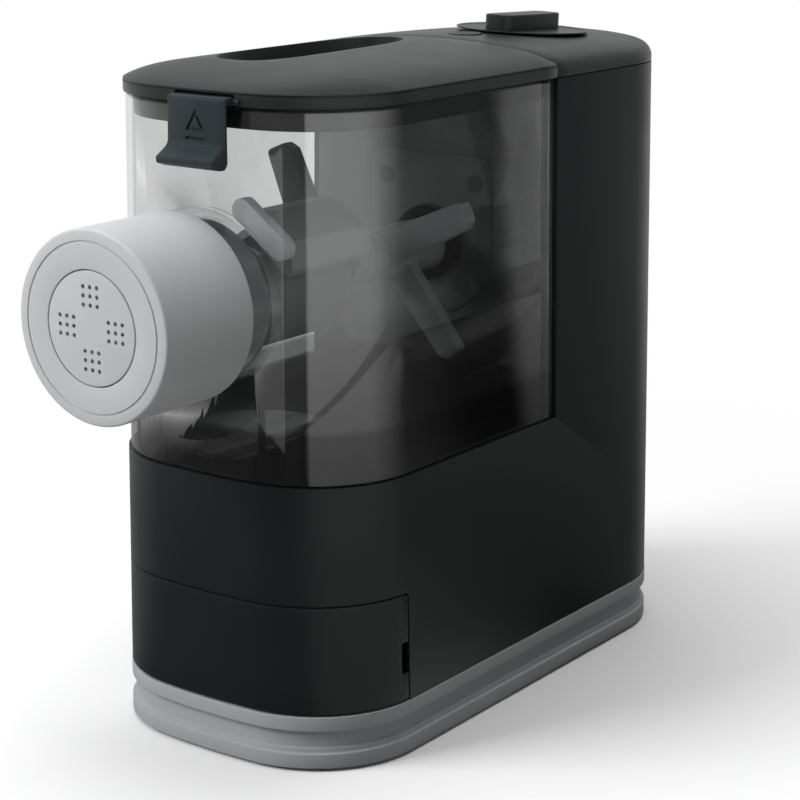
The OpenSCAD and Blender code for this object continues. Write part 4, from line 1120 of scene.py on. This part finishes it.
def lid():
    """Lid with an upright rim, a fine groove along it, a low crown and the sunk filling slot."""
    base = LID_Z + 0.2
    obj = lid_solid("lid_shell", 0, 0, base)
    cut(obj, lid_solid("hollow", TOP_WALL, TOP_WALL, LID_Z - 3))
    slot = build("slot_block", slab(slot_outline(1.5), WELL_FLOOR, CREST + 4))
    combine(slot, lid_solid("under_crown", 0.6, 0.3, base), "INTERSECT")
    combine(obj, slot)
    cut(obj, slab(slot_outline(0), WELL, CREST + 4))
    x0, y0 = SLOT_X - OPENING_W / 2, SLOT_Y - OPENING_L / 2
    openings = [block(x0, x0 + OPENING_W, y, y + OPENING_L, LID_Z - 3, CREST)
                for y in (y0 - OPENING_PITCH, y0, y0 + OPENING_PITCH)]
    cut(obj, merged(*openings))
    left, right = LATCH_X - BAY_HALF, LATCH_X + BAY_HALF
    combine(obj, block(left - 2, right + 2, BAY_BACK - 0.8, BAY_BACK + 2, base, BAY_TOP + 0.8))
    cut(obj, block(left, right, FRONT - 1, BAY_BACK, LID_Z - 2, BAY_TOP))
    finish(soften(obj, 0.25, 2, angle=45), "cover", LID_BLACK, "lid")


def gasket():
    """Black skirt of the lid inside the chamber."""
    lo, hi = box("lid_gasket")
    profile = rounded([(0, lo.z, 0.5), (0, hi.z, 0.3), (2.2, hi.z, 0.3), (2.2, lo.z, 0.5)])
    base = chamber_inset(LID_Z) + WALL + 0.4
    stations = closed_stations(5)
    shape = hoop([ring(stations, z, base + g, hi.y - g, 3 - g / 2) for g, z in profile][::-1])
    finish(build("lid_skirt", shape), "cover", INNER_BLACK, "lid_gasket", slot="rubber")


def open_mark(x, face, base):
    """Outline triangle over a bar, as tools that reach MARK_DEPTH forward of their face."""
    tip, half = base + MARK_H, MARK_HALF
    outer = [(x - half, base), (x + half, base), (x, tip)]
    foot = base + MARK_LINE
    inner = [(x - half + 2 * MARK_LINE, foot), (x + half - 2 * MARK_LINE, foot), (x, tip - 2.2 * MARK_LINE)]
    mark = slab_y(outer, face, face - MARK_DEPTH)
    middle = slab_y(inner, face + 1, face - MARK_DEPTH - 1)
    bar_z = base - BAR_TOP
    bar = block(x - BAR_HALF, x + BAR_HALF, face - MARK_DEPTH, face, bar_z - BAR_H, bar_z)
    return cut(build("mark", mark), middle), bar


def latch():
    """Latch plate with a curled lip and an engraved arrow over a bar."""
    lo, hi = box("lid_latch")
    pin = centre("latch_pin")
    foot = lo.z - pin.z
    # depth and height from the pin, radius
    profile = rounded([
        (1.4, 1.8, 0.8), (-5.6, 1.7, 1.9), (-6.2, foot + 8.5, 3.5), (-8, foot + 7, 2.5),
        (-13.3, foot + 4, 1.2), (-12.9, foot + 1.6, 1.2), (-8, foot + 0.1, 2.5), (-5.2, foot, 1.2),
        (-3.6, foot + 2, 2), (-3.6, -1.2, 1), (1.4, -1.6, 0.8)], 5)
    obj = build("latch_plate", solid([[(x, pin.y + a, pin.z + b) for a, b in profile] for x in (lo.x, hi.x)]))
    soften(obj, 0.9, 3, angle=60)
    for tool in open_mark((lo.x + hi.x) / 2, pin.y - MARK_FACE, pin.z + foot + MARK_FOOT):
        cut(obj, tool)
    finish(obj, "latch", LATCH, "lid_latch", angle=30)


# --- controls ---

KNOB_R, KNOB_BORE = 29.3, 3.02
GRIP_W, GRIP_L, GRIP_TOP, GRIP_R = 14, 44.5, 7.3, 4.6


def on_knob(points):
    """Points from the knob's own axes: it stands square to the tower's crowned top."""
    turn = next(j for j in frame["joints"] if j["name"] == "knob_turn")
    up = Vector(turn["axis"])
    tilt = Vector((0, 0, 1)).rotation_difference(up)
    foot = Vector(turn["pos_m"]) / MM
    return [tuple(foot + tilt @ Vector(p)) for p in points]


def knob():
    """Round dial plate with a sunk face and a bar grip."""
    r = KNOB_R
    profile = rounded([(KNOB_BORE, 0, 0), (r - 1.2, 0, 0.2), (r, 0.35, 0.25), (r - 0.1, 0.85, 0.25),
                       (r - 1.1, 0.88, 0.2), (r - 2.2, 0.45, 0.4), (KNOB_BORE, 0.45, 0)])
    plate = upright(profile, 0, 0, 128)
    plate.verts = on_knob(plate.verts)
    finish(build("dial_plate", plate), "knob", LID_BLACK, "knob_disc")
    top = GRIP_TOP
    edge = [(0, 0.4), (0, top - 0.8), (0.15, top - 0.35), (0.5, top - 0.08), (1.0, top)]
    rows = [rounded_box(0, GRIP_W / 2 - i, GRIP_L / 2 - i, GRIP_R - i, z, 8) for i, z in edge]
    grip = solid([on_knob(row) for row in rows])
    finish(build("dial_grip", grip), "knob", LID_BLACK, "knob_grip")


def button():
    """Start button, dished on top."""
    lo, hi = box("start_button")
    cx, cy = (lo.x + hi.x) / 2, (lo.y + hi.y) / 2
    r, stem_r, cap, top = hi.x - cx, 2.5, hi.z - 3.7, hi.z
    profile = rounded([(AXIS_R, lo.z, 0), (stem_r, lo.z, 0.2), (stem_r, cap, 0), (r, cap, 0.2),
                       (r, top, 0.45), (r - 1, top, 0.3), (AXIS_R, top - 0.7, 0)])
    finish(build("button_cap", upright(profile, cx, cy)), "button", LID_BLACK, "start_button")


# --- CAD nodes that stay ---

# Material, width of the softened edges, nodes.
KEPT = [
    (INNER_BLACK, 0.3, "base_plate drawer_bay motor_end_bell motor_cradle"),
    (INNER_BLACK, 0.2, "panel_plugs interlock_sensor encoder_body start_switch"),
    (RUBBER, 0.5, "rubber_feet"),
    (RUBBER, 0.3, "shaft_seal"),
    (STEEL, 0, "base_screws panel_screws cover_screws idler_pins output_gear"),
    (STEEL, 0.2, "shaft_bearings rotor_shaft knob_shaft"),
    (STEEL, 0.3, "motor_can drive_shaft"),
    (CASE_GREY, 0.3, "gearbox_case gearbox_cover"),
    (CASE_GREY, 0.2, "cooling_fan"),
    (DARK_IRON, 0.3, "motor_magnets"),
    (DARK_IRON, 0, "rotor_core"),
    (BRASS, 0, "motor_bushes motor_pinion"),
    (COPPER, 0.4, "rotor_windings"),
    (ACETAL, 0, "first_gear second_gear"),
    (BOARD, 0, "power_board control_board"),
    (PARTS, 0.3, "power_parts"),
    (LATCH, 0.2, "latch_pin"),
    (PALE, 0.3, "stored_discs"),
]


def dress_kept_nodes():
    """Gives each CAD node that stays its material and soft edges."""
    for material, width, names in KEPT:
        for obj in [frame["nodes"][name] for name in names.split()]:
            paint(obj, material)
            if width:
                bevel(obj, width, 2, 50)


# --- stage ---

CAMERA_AT = (0.5456, FRONT * MM - 0.615, 0.3625)
CAMERA_AZIMUTH, CAMERA_ELEVATION = 36.14, 14.79
FOCAL_PX, FRAME_PX = 2195.55, 800
SENSOR = 36

# Place, aim and side in metres, power in watts.
LAMPS = {
    "key": ((-0.9, -1.3, 1.0), (0, -0.05, 0.15), 0.9, 30),
    "top": ((0.0, 0.1, 1.7), (0, 0, 0.2), 1.4, 24),
}
WHITE = (1, 1, 1, 1)
WORLD_LIGHT = 0.16
# Brightness in reflections, by azimuth in degrees: 0 is in front, 90 to the right.
SURROUND = [(-180, 1), (-110, 1), (-75, 0.7), (-62, 0.7), (-38, 0.2), (28.5, 0.16), (30.5, 1), (60, 1),
            (90, 1), (120, 0.4), (138, 0.04), (145.6, 0.03), (148, 0.32), (151, 0.34), (160, 0.7), (178, 1),
            (180, 1)]
# DIMMEST of that is left high in the sky, and on the floor close to the machine.
DIMMEST = 0.5
HIGH_SKY = (0.1, 0.6)  # upward part of the direction, from full to DIMMEST
NEAR_FLOOR = (0.5, 1.0)  # metres from the middle, from DIMMEST to full
FLOOR_HALF = 9000
FLOOR_COLOUR = (0.88, 0.88, 0.885, 1)
FLOOR_BOUNCE = (0.3, 0.3, 0.3, 1)
FLOOR_FADE = (0.14, 0.58)  # metres from the middle, from the shaded floor to plain white


def camera():
    """Camera at the place and angle fitted to the photo."""
    data = bpy.data.cameras.new("camera")
    data.sensor_width = SENSOR
    data.lens = FOCAL_PX * SENSOR / FRAME_PX
    data.clip_start, data.clip_end = 0.01, 100
    cam = link(bpy.data.objects.new("camera", data))
    cam.location = CAMERA_AT
    cam.rotation_euler = (radians(90 - CAMERA_ELEVATION), 0, radians(CAMERA_AZIMUTH))
    bpy.context.scene.camera = cam


def softbox(name, at, toward, side, power):
    """Square lamp aimed at a point. Reflections show the surround in its place."""
    data = bpy.data.lights.new(name, "AREA")
    data.shape = "RECTANGLE"
    data.size = data.size_y = side
    data.energy = power
    lamp = link(bpy.data.objects.new(name, data))
    lamp.location = at
    lamp.rotation_euler = (Vector(toward) - Vector(at)).to_track_quat("-Z", "Y").to_euler()
    lamp.visible_glossy = False


def surround():
    """Node group from a direction or a place on the floor to its brightness in reflections."""
    group = bpy.data.node_groups.new("surround", "ShaderNodeTree")
    group.interface.new_socket("Vector", in_out="INPUT", socket_type="NodeSocketVector")
    group.interface.new_socket("Light", in_out="OUTPUT", socket_type="NodeSocketFloat")
    parts = add(group, "SeparateXYZ", Vector=group.nodes.new("NodeGroupInput")).outputs
    azimuth = math_node(group, "ARCTAN2", parts["X"], math_node(group, "MULTIPLY", parts["Y"], -1))
    turn = math_node(group, "MULTIPLY_ADD", azimuth, 0.5 / pi, 0.5)
    ramp = add(group, "ValToRGB", Fac=turn)
    stops = ramp.color_ramp.elements
    for i, (angle, value) in enumerate(SURROUND):
        at = angle / 360 + 0.5
        stop = stops[i] if i < 1 else stops.new(at)
        stop.position = at
        stop.color = (value, value, value, 1)
    stops.remove(stops[-1])
    put(group, group.nodes.new("NodeGroupOutput").inputs[0], ramp)
    return group


def studio_light(tree, kind, group, way, share):
    """What reflections show: the surround along a way, times a share."""
    around = add(tree, "Group")
    around.node_tree = group
    put(tree, around.inputs[0], way)
    return add(tree, kind, Strength=math_node(tree, "MULTIPLY", around, share))


def world(group):
    """White for the camera and clear parts, the surround for reflections, an even grey for the rest."""
    w = bpy.data.worlds.new("studio")
    bpy.context.scene.world = w
    w.use_nodes = True
    nt = w.node_tree
    even = fill(nt, nt.nodes["Background"], Color=WHITE, Strength=WORLD_LIGHT)
    white = add(nt, "Background", Color=WHITE)
    way = add(nt, "TexCoord").outputs["Generated"]
    rise = add(nt, "SeparateXYZ", Vector=way).outputs["Z"]
    studio = studio_light(nt, "Background", group, way, ranged(nt, rise, *HIGH_SKY, 1, DIMMEST))
    rays = add(nt, "LightPath").outputs
    clear = math_node(nt, "MAXIMUM", rays["Is Camera Ray"], rays["Is Transmission Ray"])
    seen = mixed(nt, clear, even, white)
    fill(nt, nt.nodes["World Output"], Surface=mixed(nt, rays["Is Glossy Ray"], seen, studio))


def floor(group):
    """Pale floor that keeps the object's shadow and fades into the white round it."""
    h = FLOOR_HALF
    shape = Shape()
    shape.faces.append(tuple(shape.add([(-h, -h, 0), (h, -h, 0), (h, h, 0), (-h, h, 0)])))
    obj = build("floor", shape)
    mat, nt, spot = new_material("floor")
    shaded = fill(nt, nt.nodes["Principled BSDF"], Base_Color=FLOOR_COLOUR, Roughness=0.9,
                  Specular_IOR_Level=0.1)
    dim = add(nt, "BsdfDiffuse", Color=FLOOR_BOUNCE)
    away = vector_node(nt, "LENGTH", spot).outputs["Value"]
    studio = studio_light(nt, "Emission", group, spot, ranged(nt, away, *NEAR_FLOOR, DIMMEST))
    fade = ranged(nt, away, *FLOOR_FADE, 0, curve="SMOOTHSTEP")
    rays = add(nt, "LightPath").outputs
    seen = mixed(nt, fade, shaded, add(nt, "Emission"))
    seen = mixed(nt, rays["Is Diffuse Ray"], seen, dim)
    fill(nt, nt.nodes["Material Output"], Surface=mixed(nt, rays["Is Glossy Ray"], seen, studio))
    paint(obj, mat)


def stage():
    """Camera, surroundings, floor and lamps."""
    camera()
    group = surround()
    world(group)
    floor(group)
    for name, settings in LAMPS.items():
        softbox(name, *settings)
    bpy.context.scene.view_settings.view_transform = "Standard"


stage()
plinth()
housing()
housing_inside()
tower_panel()
tower_cap()
gland()
drawer()
tray()
chamber()
collar_ribs()
chamber_seal()
locking_ring()
shaping_disc()
dough_tube()
kneading_bar()
auger()
lid()
gasket()
latch()
knob()
button()
dress_kept_nodes()
